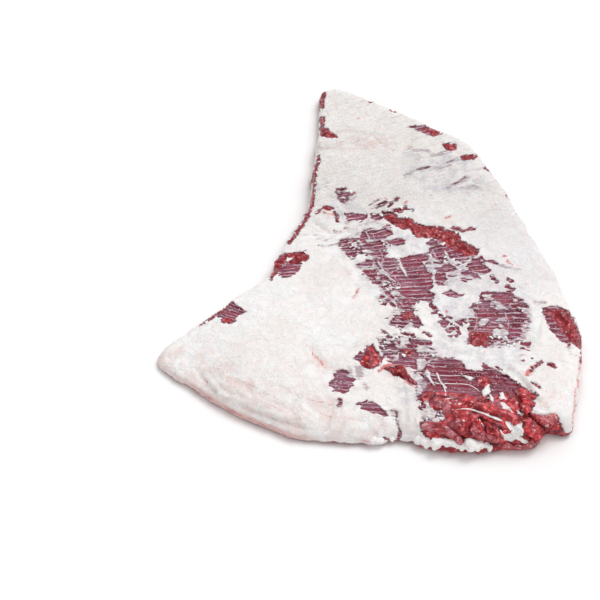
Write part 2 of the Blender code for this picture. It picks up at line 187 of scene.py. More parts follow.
# How high lean shows up the side near named places: (x, y, height in mm)
WALL_LEAN = {
    "far corner": (-0.045, 0.235, 9.0),
    "upper seam": (-0.050, 0.130, 8.0),
    "middle seam": (-0.080, 0.010, 8.5),
    "lower seam": (-0.150, -0.085, 6.5),
    "thin corner": (-0.205, -0.135, 2.5),
    "smooth front": (-0.110, -0.210, 2.2),
    "front": (0.000, -0.235, 3.6),
    "torn front": (0.100, -0.240, 12.0),
    "notch": (0.160, -0.222, 9.0),
    "right corner": (0.186, -0.215, 6.0),
    "right side": (0.205, -0.120, 4.5),
    "upper right": (0.150, 0.070, 3.0),
    "far side": (0.070, 0.180, 6.0),
    "far edge": (0.010, 0.222, 3.5),
}
WALL_BLEND = 0.020

# ---- Colours, as they look (red, green, blue out of 255) --------------------------------

LIGHT_SHARE = 0.955                 # of a looked-for colour, for the light it stands in
WET_COAT = 0.06                     # roughness of the film of water on open flesh
FLESH_SCATTER = (1.0, 0.5, 0.4)     # how far red, green and blue light sink in, to each other
FLESH_IOR = 1.38
SHEET_LEVELS = (0.44, 0.50, 0.56)   # where the fat's torn sheets end, as shares of a noise
SHEET_EDGE = 0.007                  # how steeply they end, likewise
FLOOR_PALE = (0.93, 0.93, 0.93, 1)  # linear

COLOURS = {
    "fat white": (248, 246, 245),
    "fat cream": (242, 235, 232),
    "fat far": (255, 250, 247),
    # the cool grey of thin fat, also laid on the middle of the right side as painted shade
    "fat thin and shade grey": (226, 223, 226),
    "torn fat": (255, 253, 252),
    # a darker pinkish grey: the fat's mottle and veins, and painted shade in creases and between lumps
    "fat mottle and crease shade": (226, 206, 202),
    "fat line": (212, 200, 197),
    "blush": (232, 205, 200),
    "blood": (214, 84, 76),
    "cut pink": (228, 186, 181),
    "cut red": (202, 124, 120),
    "lean dark": (98, 24, 42),
    "lean red": (140, 36, 52),
    "lean purple": (154, 100, 122),
    "lilac line": (220, 202, 213),
    # the flesh's dark tone, also laid between the lumps of raw flesh as painted shade
    "raw dark and lump shade": (116, 2, 14),
    "raw red": (168, 34, 48),
    # a pale flesh tone, also laid on the tops of the lumps of raw flesh as painted highlight
    "raw light and lump highlight": (232, 138, 138),
    # near white laid on wet raw flesh as painted glints, that is painted highlights
    "painted glint": (240, 218, 218),
    "torn bright": (226, 60, 68),
    "membrane": (190, 112, 126),
    # near black laid in the cracks of the raw flesh as painted shade
    "raw crack shade": (74, 4, 12),
    "veil purple": (146, 112, 132),
    "veil dark": (98, 46, 68),
    # dusty rose on the fat's edge at the lean: partly the lean showing through thin fat, partly painted
    # shade of the step down
    "gap rim lean tint and shade": (172, 114, 130),
}

# ---- Outlines in pixels of the photograph, across and down ------------------------------

# Lean under its thin skin, with lilac lines along the bundles
STRIPED = {
    "upper band left": [
        (345, 213), (354, 213), (358, 215), (363, 214), (367, 216), (367, 218), (360, 221), (352, 219),
        (348, 220)],
    "upper band middle": [(371, 214), (379, 214), (383, 216), (381, 219), (376, 220), (372, 217)],
    "comb": [
        (361, 235), (364, 232), (376, 231), (380, 230), (385, 226), (390, 225), (384, 229), (385, 233),
        (384, 238), (372, 239), (361, 238)],
    "comb wing": [(385, 231), (390, 231), (393, 234), (391, 235), (386, 234)],
    "second comb": [(361, 246), (369, 243), (380, 241), (385, 244), (385, 247), (376, 250), (362, 249)],
    "right comb": [(389, 241), (395, 239), (402, 239), (405, 244), (393, 244), (389, 246)],
    "third comb": [(369, 254), (375, 252), (382, 251), (386, 253), (384, 257), (372, 256)],
    "fourth comb": [
        (357, 265), (368, 260), (379, 261), (385, 258), (394, 258), (396, 261), (399, 265), (395, 267),
        (394, 270), (390, 273), (384, 270), (380, 266)],
    "fifth comb": [
        (362, 271), (376, 270), (378, 272), (376, 275), (390, 277), (389, 280), (380, 281), (380, 284),
        (372, 282), (370, 277)],
    "column bit 1": [(381, 287), (385, 285), (388, 286), (384, 289)],
    "column bit 2": [(385, 291), (389, 290), (391, 294), (392, 299), (388, 300), (387, 296)],
    "column bit 3": [(380, 295), (383, 297), (381, 298)],
    "column bit 4": [(383, 301), (386, 302), (386, 305), (383, 304)],
    "column bit 5": [(388, 301), (392, 302), (397, 307), (394, 306)],
    "column bit 6": [(391, 281), (396, 283), (400, 285), (396, 288), (392, 285)],
    "main block": [
        (399, 259), (413, 256), (428, 253), (428, 258), (421, 262), (427, 270), (433, 278), (431, 281),
        (433, 285), (428, 290), (434, 295), (432, 303), (425, 300), (418, 300), (417, 304), (412, 304),
        (405, 298), (400, 288), (401, 284), (393, 279), (391, 275), (399, 270), (401, 266)],
    "arm": [
        (428, 249), (441, 245), (450, 248), (463, 252), (470, 256), (467, 259), (459, 260), (452, 258),
        (449, 260), (441, 261), (431, 256)],
    "arm sliver": [(426, 243), (432, 240), (437, 241), (436, 244), (430, 245)],
    "right sliver": [
        (436, 268), (442, 268), (450, 262), (454, 265), (458, 269), (452, 270), (443, 272)],
    "right tooth": [(434, 272), (440, 272), (445, 275), (447, 279), (443, 281), (437, 279)],
    "far leaf": [
        (468, 264), (476, 262), (481, 263), (487, 268), (490, 271), (486, 273), (480, 273), (476, 270),
        (470, 271)],
    "far tooth": [(462, 273), (470, 272), (475, 273), (479, 278), (474, 276), (468, 275)],
    "lens": [
        (442, 293), (449, 292), (451, 290), (454, 292), (458, 294), (463, 294), (459, 296), (454, 297),
        (449, 295)],
    "right wedge": [
        (492, 295), (503, 294), (511, 296), (513, 300), (508, 303), (510, 309), (505, 308), (502, 303),
        (497, 300)],
    "right flake": [(480, 301), (489, 301), (490, 310), (479, 310)],
    "right block": [
        (474, 310), (490, 311), (510, 310), (520, 309), (526, 316), (523, 322), (520, 326), (521, 337),
        (515, 339), (506, 336), (510, 333), (503, 329), (480, 331), (470, 328), (470, 322), (480, 320)],
    "right low bit 1": [(490, 338), (502, 339), (500, 341), (493, 342)],
    "right low bit 2": [(505, 341), (510, 343), (515, 342), (513, 344)],
    "right low bit 3": [(517, 341), (524, 341), (529, 342), (528, 345), (522, 344)],
    "column": [(398, 302), (409, 301), (413, 311), (406, 311)],
    "low middle": [
        (403, 313), (413, 312), (414, 316), (408, 322), (403, 328), (393, 325), (390, 322), (396, 318)],
    "low middle right": [(414, 318), (418, 317), (421, 325), (418, 328), (414, 326)],
    "crack blob 1": [
        (438, 321), (443, 321), (449, 322), (454, 324), (452, 326), (447, 324), (445, 327), (441, 325)],
    "crack blob 2": [(458, 322), (462, 320), (466, 321), (468, 323), (464, 323), (462, 326)],
    "crack loop": [(446, 329), (450, 328), (454, 327), (454, 330), (450, 332)],
    "faint streak": [(409, 340), (430, 341), (431, 345), (412, 344)],
    "knot left": [(353, 357), (361, 352), (363, 356), (361, 361), (357, 360)],
    "dark spot rim": [
        (400, 353), (404, 349), (411, 347), (416, 350), (417, 356), (416, 362), (411, 365), (402, 364),
        (399, 360)],
    "dark spot skirt": [(392, 364), (404, 363), (416, 364), (420, 369), (408, 367)],
    "lobe patch": [
        (334, 371), (340, 370), (346, 371), (349, 373), (347, 375), (342, 376), (351, 378), (354, 379),
        (351, 381), (353, 386), (349, 387), (347, 390), (343, 393), (339, 391), (334, 391), (332, 386),
        (330, 382), (335, 378), (337, 377), (334, 374)],
    "slit": [
        (362, 405), (368, 403), (374, 402), (377, 404), (381, 408), (388, 416), (384, 416), (378, 413),
        (374, 413), (367, 410), (361, 409)],
    "torn back": [
        (440, 358), (454, 358), (461, 362), (466, 371), (485, 371), (482, 363), (493, 369), (506, 376),
        (524, 388), (520, 402), (500, 402), (480, 396), (430, 396), (425, 390), (430, 380), (432, 372)],
    "rim patch": [(542, 308), (556, 306), (566, 310), (570, 345), (560, 340), (552, 330), (546, 320)],
    "seam patch": [
        (283, 264), (292, 264), (300, 263), (300, 269), (297, 272), (293, 275), (286, 277), (279, 276),
        (279, 271)],
    "thin corner patch": [
        (233, 303), (240, 307), (245, 312), (240, 313), (237, 317), (235, 321), (231, 323), (223, 322),
        (221, 319), (217, 317), (225, 309)],
    "far wedge": [(411, 127), (424, 125), (438, 134), (430, 135), (420, 131)],
}

# Lean that is open and wet
RAW = {
    "red band": [
        (383, 216), (388, 215), (396, 215), (395, 218), (411, 219), (413, 223), (425, 226), (440, 227),
        (445, 228), (442, 231), (458, 232), (460, 240), (472, 247), (478, 250), (476, 255), (466, 256),
        (460, 251), (450, 248), (442, 242), (432, 237), (417, 237), (409, 228), (402, 229), (392, 223)],
    "crack": [(322, 208), (325, 206), (329, 207), (333, 209), (330, 210), (326, 209)],
    "right block red": [
        (470, 332), (488, 331), (492, 335), (487, 342), (486, 346), (475, 345), (470, 343)],
    "low middle red": [(403, 313), (413, 312), (413, 317), (407, 321), (403, 318)],
    "knot": [
        (373, 345), (377, 352), (382, 359), (380, 364), (370, 369), (362, 366), (361, 361), (366, 351),
        (368, 347)],
    "dark spot": [(403, 350), (408, 348), (413, 350), (414, 354), (410, 357), (404, 356)],
    "raw fold": [
        (384, 369), (391, 367), (396, 367), (402, 365), (406, 367), (408, 374), (413, 379), (416, 385),
        (411, 384), (404, 379), (396, 376), (390, 371)],
    "torn front": [
        (425, 392), (455, 393), (490, 397), (524, 388), (537, 397), (532, 400), (534, 404), (529, 415),
        (548, 419), (557, 418), (563, 430), (548, 430), (537, 442), (528, 450), (505, 451), (495, 446),
        (480, 447), (455, 445), (435, 443), (424, 435), (421, 423), (436, 422), (447, 420), (442, 410),
        (430, 409), (417, 400)],
    "torn back red": [(478, 377), (488, 376), (494, 383), (486, 388), (478, 384)],
    "rim patch red": [
        (556, 309), (566, 310), (574, 322), (581, 336), (584, 350), (576, 346), (566, 336), (556, 322),
        (544, 311)],
    "seam wedge": [(318, 127), (325, 128), (337, 136), (332, 138), (318, 134)],
    "seam strip": [(318, 92), (325, 92), (322, 108), (316, 110)],
    "seam nick": [(317, 117), (324, 117), (323, 125), (316, 125)],
    "seam patch red": [
        (286, 254), (296, 253), (305, 252), (308, 258), (303, 262), (296, 264), (289, 262), (284, 262),
        (277, 272), (270, 280), (272, 272), (275, 262), (281, 256)],
    "thin corner red": [(222, 318), (228, 317), (232, 319), (229, 323), (223, 322)],
    "far wedge red": [(426, 128), (436, 129), (441, 134), (433, 136)],
    "far nick": [(443, 143), (455, 144), (455, 149), (448, 150), (444, 146)],
    "far streak": [(462, 157), (468, 155), (478, 156), (474, 159), (464, 160)],
}

# Lean broken up by flecks of fat
MOTTLED = {
    "left mottle": [
        (340, 240), (355, 238), (356, 242), (352, 244), (357, 248), (366, 253), (367, 256), (357, 254),
        (355, 259), (351, 260), (345, 253), (338, 247)],
    "under mottle": [(378, 339), (400, 341), (398, 352), (392, 362), (383, 352)],
    "side mottle": [(418, 352), (440, 358), (438, 372), (428, 384), (420, 374)],
    "left torn mottle": [(416, 398), (430, 388), (440, 400), (440, 420), (424, 422)],
    "purple cluster": [
        (336, 189), (342, 188), (347, 192), (352, 192), (348, 196), (348, 201), (341, 202), (339, 196)],
}

# Striped lean that fat still covers in streaks
BROKEN = {
    "comb field": [
        (356, 237), (364, 230), (380, 228), (389, 224), (394, 233), (386, 240), (406, 240), (404, 246),
        (388, 247), (387, 258), (400, 258), (400, 268), (393, 274), (392, 282), (380, 286), (369, 282),
        (361, 272), (356, 266), (366, 261), (367, 250), (357, 247)],
    "arm field": [
        (424, 254), (440, 240), (458, 246), (474, 253), (486, 262), (488, 274), (474, 280), (452, 284),
        (436, 286), (428, 270)],
    "column field": [
        (380, 282), (392, 280), (402, 292), (414, 304), (420, 316), (418, 330), (400, 330), (384, 322),
        (392, 308), (378, 300)],
    "low field": [
        (376, 336), (402, 334), (424, 340), (442, 356), (432, 372), (420, 388), (404, 366), (384, 360)],
    "left torn field": [(416, 384), (432, 384), (446, 400), (448, 424), (430, 436), (420, 420)],
    "right field": [
        (468, 308), (480, 298), (510, 292), (530, 306), (530, 322), (524, 346), (490, 348), (466, 344)],
    "spot skirt veil": [(400, 335), (412, 332), (420, 341), (416, 350), (404, 349)],
}

# Lean that shows through a film of fat
VEILED = {
    "lobe patch veil": [(347, 366), (353, 367), (354, 377), (347, 376)],
    "rim patch tail": [(566, 340), (573, 341), (571, 353), (566, 349)],
    "lobe patch low": [(337, 397), (342, 398), (342, 406), (336, 408)],
    "knot low": [(361, 381), (366, 382), (369, 389), (367, 391), (363, 387)],
    "knot veil": [(354, 366), (362, 366), (365, 374), (360, 381), (355, 376)],
    "skirt veil": [(391, 296), (402, 300), (412, 308), (406, 314), (398, 312)],
    "back veil": [(417, 378), (428, 378), (430, 392), (420, 398)],
    "island veil": [(474, 312), (486, 311), (488, 319), (476, 320)],
}

# Islands of fat inside the gaps
ISLANDS = {
    "block island 1": [
        (478, 323), (482, 319), (488, 318), (490, 320), (487, 323), (482, 326), (479, 326)],
    "block island 2": [(499, 324), (504, 325), (503, 328), (499, 327)],
    "block island 5": [(498, 318), (504, 318), (507, 321), (503, 322), (499, 321)],
    "block island 3": [
        (493, 329), (500, 329), (508, 331), (510, 334), (505, 336), (498, 337), (494, 333)],
    "block island 4": [(492, 301), (500, 303), (508, 309), (498, 308)],
    "seam white": [(285, 260), (291, 257), (293, 259), (288, 262)],
    "torn island 1": [
        (482, 390), (485, 388), (489, 386), (490, 389), (491, 392), (489, 394), (486, 395), (484, 397),
        (482, 393)],
    "torn island tail": [(489, 394), (491, 395), (494, 399), (493, 403), (491, 401)],
    "torn island 2": [
        (500, 393), (503, 393), (504, 396), (507, 399), (505, 401), (501, 399), (499, 398)],
    "torn island wedge": [
        (501, 402), (504, 403), (509, 408), (512, 412), (507, 410), (503, 409), (502, 406)],
    "slab white": [(516, 411), (519, 411), (524, 415), (521, 416), (517, 413)],
    "back white": [
        (424, 372), (427, 370), (430, 373), (430, 376), (432, 381), (435, 385), (431, 383), (427, 378)],
    "torn island 3": [(463, 375), (474, 378), (470, 380)],
    "fold curl": [(405, 367), (410, 367), (412, 372), (416, 377), (417, 381), (412, 378), (408, 374)],
    "ragged flap": [
        (505, 434), (511, 433), (512, 430), (509, 427), (505, 423), (506, 421), (509, 423), (512, 426),
        (515, 427), (518, 425), (521, 424), (523, 430), (522, 434), (519, 435), (524, 439), (532, 444),
        (529, 446), (522, 442), (516, 439), (511, 441), (505, 440), (504, 437)],
    "left rag": [
        (414, 402), (418, 401), (421, 402), (418, 404), (418, 409), (422, 411), (426, 409), (427, 404),
        (424, 403), (427, 402), (431, 407), (433, 410), (437, 411), (436, 415), (434, 419), (429, 419),
        (425, 415), (423, 417), (419, 420), (415, 421), (414, 412)],
    "tab white": [
        (416, 359), (420, 358), (425, 360), (427, 364), (424, 368), (420, 371), (417, 368), (418, 364)],
    "left oval": [(432, 420), (436, 419), (440, 421), (438, 423), (434, 423)],
}

# The next tables hold lines, each group's strokes as (half width in mm, points).

# Thin gaps with striped lean
STRIPED_LINES = {
    "hatches": [(1.3, [(379, 205), (384, 202)]), (0.9, [(390, 206), (392, 203), (398, 199)])],
    "lobe low": [(1.0, [(340, 399), (341, 402), (338, 405)])],
    "band veil": [(0.7, [(383, 213), (392, 213), (402, 212)])],
    "right tail": [(0.7, [(436, 282), (443, 284)])],
    "dark line": [(0.5, [(481, 257), (485, 261), (490, 261), (497, 264)])],
    "bits": [
        (1.0, [(492, 276)]),
        (1.3, [(493, 279), (496, 282)]),
        (1.6, [(509, 280), (512, 281)]),
        (1.0, [(508, 286), (513, 290)]),
        (0.8, [(509, 292), (513, 296), (517, 298)]),
        (1.2, [(521, 306), (526, 307)]),
        (0.9, [(482, 296), (481, 299)])],
    "wedge top": [(0.7, [(483, 293), (493, 293), (503, 293), (511, 296)])],
    "low dark": [(0.5, [(521, 348), (527, 349)])],
    "chain": [(1.1, [(431, 301), (431, 306), (434, 308), (439, 313), (442, 317)])],
    "chain blob": [(1.2, [(434, 313), (438, 313)])],
    "chain arc": [(0.8, [(444, 319), (447, 317), (451, 318)])],
    "loop line": [(0.9, [(455, 327), (458, 331), (459, 334), (456, 336), (450, 336)])],
    "slit tail": [(0.6, [(358, 404), (362, 403), (367, 401)])],
    "column dash": [(1.0, [(394, 288), (399, 289)])],
    "mottle dashes": [
        (1.0, [(424, 333), (430, 336)]),
        (0.9, [(404, 333), (414, 337)]),
        (0.8, [(382, 331), (388, 335)])],
    "pad fleck": [(0.9, [(497, 368), (500, 370)])],
}

# Thin gaps with raw lean, and red flecks
RAW_LINES = {
    "twig": [(0.8, [(395, 212), (400, 211), (405, 208), (412, 210)])],
    "strand": [(0.7, [(452, 228), (458, 228), (462, 231), (470, 229), (475, 229)])],
    "stroke": [(0.7, [(320, 210), (317, 214)])],
    "block bit": [(1.2, [(493, 309), (497, 313)])],
    "dark crack": [(0.7, [(400, 432), (399, 438)])],
    "rim line": [(0.9, [(583, 345), (582, 354), (580, 362)])],
    "seam ragged": [(1.6, [(318, 158), (316, 165), (314, 178), (312, 190), (312, 200)])],
    "seam line": [(1.3, [(312, 202), (308, 215), (300, 228), (289, 243)])],
    "corner line": [(0.6, [(200, 325), (217, 314), (233, 303)])],
    "pad line": [(0.5, [(542, 361), (537, 364), (532, 367)])],
    "pad teeth": [
        (0.6, [(529, 393), (534, 394)]),
        (0.6, [(529, 399), (537, 397)]),
        (0.5, [(528, 402), (535, 403)])],
    "pad flecks": [(1.3, [(550, 364), (554, 367)]), (1.5, [(534, 384), (538, 387)])],
    "pad dots": [(0.7, [(523, 361)]), (0.6, [(532, 358)])],
    "arc tail": [(0.6, [(335, 213), (337, 217), (337, 221)])],
    "comb speck": [(1.0, [(363, 240), (364, 242)])],
    "slit red": [(0.8, [(384, 438), (391, 440)])],
    "edge flecks": [
        (1.0, [(366, 99), (371, 102)]),
        (0.9, [(391, 109), (395, 111)]),
        (0.9, [(486, 168), (489, 170)]),
        (0.9, [(508, 195), (511, 198)]),
        (0.9, [(516, 208), (519, 213)])],
}

# Lean that shows greyly through the fat
VEILED_LINES = {
    "cluster veil": [(2.0, [(341, 202), (346, 200), (356, 197)])],
    "hatch veils": [
        (1.6, [(372, 208), (380, 206), (388, 201)]),
        (1.4, [(384, 207), (391, 202), (397, 199)])],
    "band foot": [(1.4, [(360, 224), (372, 222), (382, 225)])],
    "left thread": [(0.8, [(318, 189), (324, 185), (328, 188), (333, 192)])],
    "left grey": [(1.6, [(340, 240), (350, 236), (358, 234)])],
    "crack veil": [(1.6, [(393, 414), (394, 420)])],
    "seam greys": [
        (0.9, [(304, 235), (312, 234), (323, 237)]),
        (0.9, [(317, 239), (326, 240), (334, 236)])],
    "far streak tail": [(1.2, [(464, 158), (455, 160), (450, 163)])],
    "far veils": [
        (2.2, [(405, 175), (412, 172), (420, 169), (432, 167)]),
        (1.8, [(430, 167), (440, 168), (450, 166)]),
        (2.4, [(411, 149), (420, 150), (428, 151)]),
        (2.6, [(432, 155), (440, 154), (448, 152)]),
        (2.6, [(448, 187), (456, 184), (462, 181), (468, 178)]),
        (2.4, [(462, 188), (472, 186), (480, 188)])],
    "wedge veil": [(1.4, [(409, 127), (416, 130), (426, 134)])],
    "right veil": [(1.8, [(500, 266), (510, 268), (519, 269)])],
    "block veil": [(2.2, [(536, 303), (546, 303)])],
    "vein": [(0.8, [(318, 189), (324, 185), (330, 182)])],
    "pad shade": [(0.7, [(520, 355), (528, 353)])],
}

# Lean that shows darkly through the fat
DARK_LINES = {
    "clusters": [
        (1.5, [(336, 192), (339, 195)]),
        (1.2, [(341, 191), (344, 190), (346, 188)]),
        (1.5, [(341, 192), (345, 195), (348, 198)]),
        (1.1, [(338, 198), (342, 201)]),
        (0.9, [(345, 196), (351, 195), (355, 193)])],
    "hatches": [
        (0.9, [(370, 205), (374, 202), (379, 200)]),
        (1.1, [(377, 208), (382, 206), (387, 202)])],
    "dark cracks": [
        (1.3, [(390, 411), (394, 410), (397, 412)]),
        (0.9, [(396, 413), (397, 421), (398, 426), (400, 432)])],
    "seam dots": [
        (0.9, [(345, 227), (346, 228)]),
        (0.7, [(348, 220), (348, 221)]),
        (0.8, [(361, 221)]),
        (0.5, [(333, 229), (337, 233)]),
        (0.5, [(339, 230), (341, 231)]),
        (0.5, [(324, 212), (325, 214)])],
    "seam rows": [
        (0.5, [(318, 245), (324, 246), (330, 245), (336, 244)]),
        (0.8, [(337, 244), (342, 242), (347, 240), (353, 238)])],
    "far veils": [
        (0.9, [(417, 170), (424, 168), (430, 167)]),
        (0.8, [(447, 163), (452, 161)]),
        (0.8, [(454, 183), (460, 181), (466, 177)])],
}

# Strands of fat over the lean
WHITE_LINES = {
    "webs": [
        (1.0, [(399, 258), (401, 266), (406, 275)]),
        (1.2, [(445, 251), (450, 262), (458, 268)]),
        (0.8, [(378, 262), (384, 272), (391, 280)]),
        (1.0, [(431, 256), (433, 270), (434, 282)]),
        (0.6, [(366, 232), (370, 240)]),
        (0.7, [(437, 373), (440, 381), (446, 388)])],
    "web dot": [(2.0, [(378, 278)])],
    "knot dot": [(1.2, [(405, 356)])],
    "white spike": [(1.1, [(369, 213), (369, 217), (368, 222)])],
}

# Thin threads that cling to the lean
LILAC_LINES = {
    "threads": [
        (0.5, [(377, 260), (383, 268), (391, 278), (396, 288)]),
        (0.4, [(380, 262), (390, 271), (398, 280), (401, 285)]),
        (0.5, [(373, 260), (377, 268), (378, 276)]),
        (0.5, [(399, 258), (403, 266), (408, 276)]),
        (0.4, [(392, 254), (397, 262), (404, 273)]),
        (0.4, [(432, 248), (436, 256), (440, 262)]),
        (0.4, [(426, 252), (431, 260), (433, 268)]),
        (0.4, [(371, 231), (376, 240)]),
        (0.4, [(362, 243), (368, 252), (371, 257)]),
        (0.5, [(395, 288), (398, 298), (404, 306)]),
        (0.4, [(388, 296), (394, 300), (398, 308)]),
        (0.5, [(381, 250), (383, 258), (381, 268)]),
        (0.5, [(470, 329), (484, 328), (496, 329)]),
        (0.4, [(476, 311), (478, 322), (474, 330)]),
        (0.4, [(505, 312), (509, 322), (508, 332)]),
        (0.5, [(424, 362), (434, 366), (446, 366)]),
        (0.4, [(420, 330), (424, 336), (430, 338)]),
        (0.4, [(396, 318), (404, 322), (412, 320)]),
        (0.5, [(335, 383), (343, 382), (352, 384)])],
}

# Lines and dots that stain the fat
BLOOD_LINES = {
    "hatch blush": [(0.5, [(379, 199), (384, 198), (388, 199)])],
    "branch": [(0.7, [(354, 193), (356, 192)])],
    "rim blood": [(0.5, [(580, 362), (577, 385), (573, 408), (572, 425)])],
    "pad line foot": [(1.6, [(532, 367), (528, 371), (527, 377)])],
    "pad line low": [(0.7, [(525, 372), (518, 373)])],
    "pad fleck": [(1.2, [(546, 391)])],
    "tears": [(1.6, [(504, 256), (506, 256)]), (1.4, [(507, 261), (509, 263), (512, 265)])],
    "flecks": [
        (1.2, [(446, 311), (447, 312)]),
        (1.0, [(476, 283)]),
        (1.2, [(431, 195)]),
        (1.1, [(407, 201), (405, 204)]),
        (1.3, [(446, 218), (450, 216)]),
        (1.0, [(435, 219)]),
        (1.1, [(495, 204)]),
        (1.0, [(485, 352)]),
        (1.2, [(576, 355)])],
    "arc": [(0.7, [(324, 212), (326, 214), (333, 215), (335, 212)])],
    "far lines": [
        (0.5, [(391, 149), (394, 150)]),
        (0.4, [(404, 147), (410, 146)]),
        (0.4, [(412, 140), (418, 138)]),
        (0.4, [(357, 119), (360, 118)]),
        (0.5, [(380, 142), (384, 143)])],
    "lobe specks": [(0.8, [(352, 373)]), (0.7, [(352, 377)])],
    "front speck": [(0.8, [(225, 409), (227, 410)])],
    "fold strip": [(2.0, [(379, 371), (383, 368), (390, 365), (396, 365)])],
    "fold rim": [(1.0, [(401, 379), (407, 384), (415, 388)])],
    "slit blood": [(1.0, [(361, 440), (371, 442)])],
    "front lines": [
        (0.4, [(216, 385), (222, 388), (228, 386)]),
        (0.4, [(236, 378), (248, 384), (258, 388)]),
        (0.4, [(262, 392), (272, 396), (280, 400)]),
        (0.5, [(318, 411), (326, 415), (331, 416)]),
        (0.4, [(203, 378), (208, 384)])],
    "threads": [
        (0.8, [(358, 287), (357, 292), (353, 297)]),
        (0.8, [(308, 346), (316, 356), (325, 366)]),
        (0.7, [(305, 398), (318, 402), (331, 404)])],
}

# Lines pressed into the fat
CREASES = {
    "creases": [
        (1.6, [(358, 287), (357, 292), (353, 297)]),
        (2.0, [(312, 347), (315, 356), (325, 366), (337, 370)]),
        (2.4, [(186, 374), (205, 388), (214, 398)]),
        (2.0, [(210, 372), (222, 386), (228, 392), (240, 396)]),
        (1.8, [(228, 376), (244, 388), (262, 396), (281, 404), (297, 412)]),
        (1.8, [(199, 374), (206, 386), (213, 393)]),
        (2.4, [(300, 395), (292, 405), (296, 425), (306, 437)]),
        (2.0, [(330, 398), (333, 412), (325, 430)]),
        (2.4, [(240, 406), (262, 416), (285, 424), (300, 432)]),
        (2.6, [(530, 310), (524, 322), (523, 334), (529, 348)]),
        (1.8, [(542, 361), (535, 366), (527, 375)]),
        (1.6, [(518, 374), (526, 384), (534, 392), (540, 402)]),
        (1.8, [(332, 132), (350, 130), (372, 134), (384, 144)]),
        (1.4, [(310, 146), (322, 148), (338, 146)]),
        (1.6, [(316, 222), (330, 232), (348, 230), (362, 226)]),
        (1.6, [(344, 204), (349, 216), (345, 228)])],
}

# What is torn, which is coarser and redder
TORN_FRONT = {"front": RAW["torn front"]}
TORN = {**TORN_FRONT, "back": STRIPED["torn back"], "knot": RAW["knot"]}

# Blushes of the fat: (u, v, half length, half width, turn in degrees), in pixels
BLUSHES = {
    "far": (372, 143, 36, 12, -8),
    "thin corner": (240, 380, 24, 10, 25),
    "front": (290, 412, 40, 9, 12),
    "right pad": (548, 400, 26, 14, -30),
    "pad foot": (560, 427, 14, 4, 5),
    "torn pink": (500, 282, 14, 10, 40),
    "left fold": (318, 362, 16, 12, 40),
    "middle": (352, 272, 10, 8, 0),
    "front middle": (372, 432, 22, 6, 5),
    "raw fold": (400, 372, 18, 10, -20),
}

# Round lumps of loose fat under the front edge: (u, v, radius in mm)
EDGE_LUMPS = [
    (374, 441, 4.3), (380, 442, 4.0), (392, 440, 2.8), (419, 440, 4.2), (426, 442, 4.8),
    (431, 445, 3.4), (437, 443, 6.3), (446, 443, 5.0), (452, 444, 4.5), (458, 447, 3.7),
    (464, 447, 3.5), (470, 445, 8.0), (480, 446, 5.0), (486, 446, 4.2), (490, 449, 3.2),
]

# Pale tendons and threads that lie on the lean: (half width, half width at the end, points),
# in mm and in pixels
TENDONS = {
    "long tendon": (0.4, 1.8, [
        (456, 410), (462, 409), (468, 409), (474, 410), (482, 413), (490, 416), (497, 419),
        (502, 421)]),
    "back thread": (0.45, 0.4, [
        (431, 381), (437, 384), (448, 384), (461, 384), (469, 385), (475, 388), (480, 392)]),
    "upper thread": (0.35, 0.3, [(429, 376), (440, 376), (452, 376), (463, 376)]),
    "rag 1": (1.3, 0.7, [(515, 437), (520, 439), (525, 441), (532, 445)]),
    "rag 2": (1.0, 0.6, [(511, 431), (508, 426), (505, 422)]),
    "rag 3": (1.1, 0.5, [(517, 434), (520, 430), (521, 425)]),
    "rag 4": (1.4, 0.8, [(512, 436), (507, 437), (503, 434), (500, 430)]),
    "left twig": (0.8, 0.5, [(443, 386), (446, 393), (445, 396)]),
    "left twig 2": (0.5, 0.3, [(445, 399), (449, 399), (453, 398)]),
    "glint bit": (0.7, 0.7, [(458, 404), (462, 404)]),
    "lobe rag": (0.6, 0.4, [(479, 419), (482, 424), (484, 427)]),
}

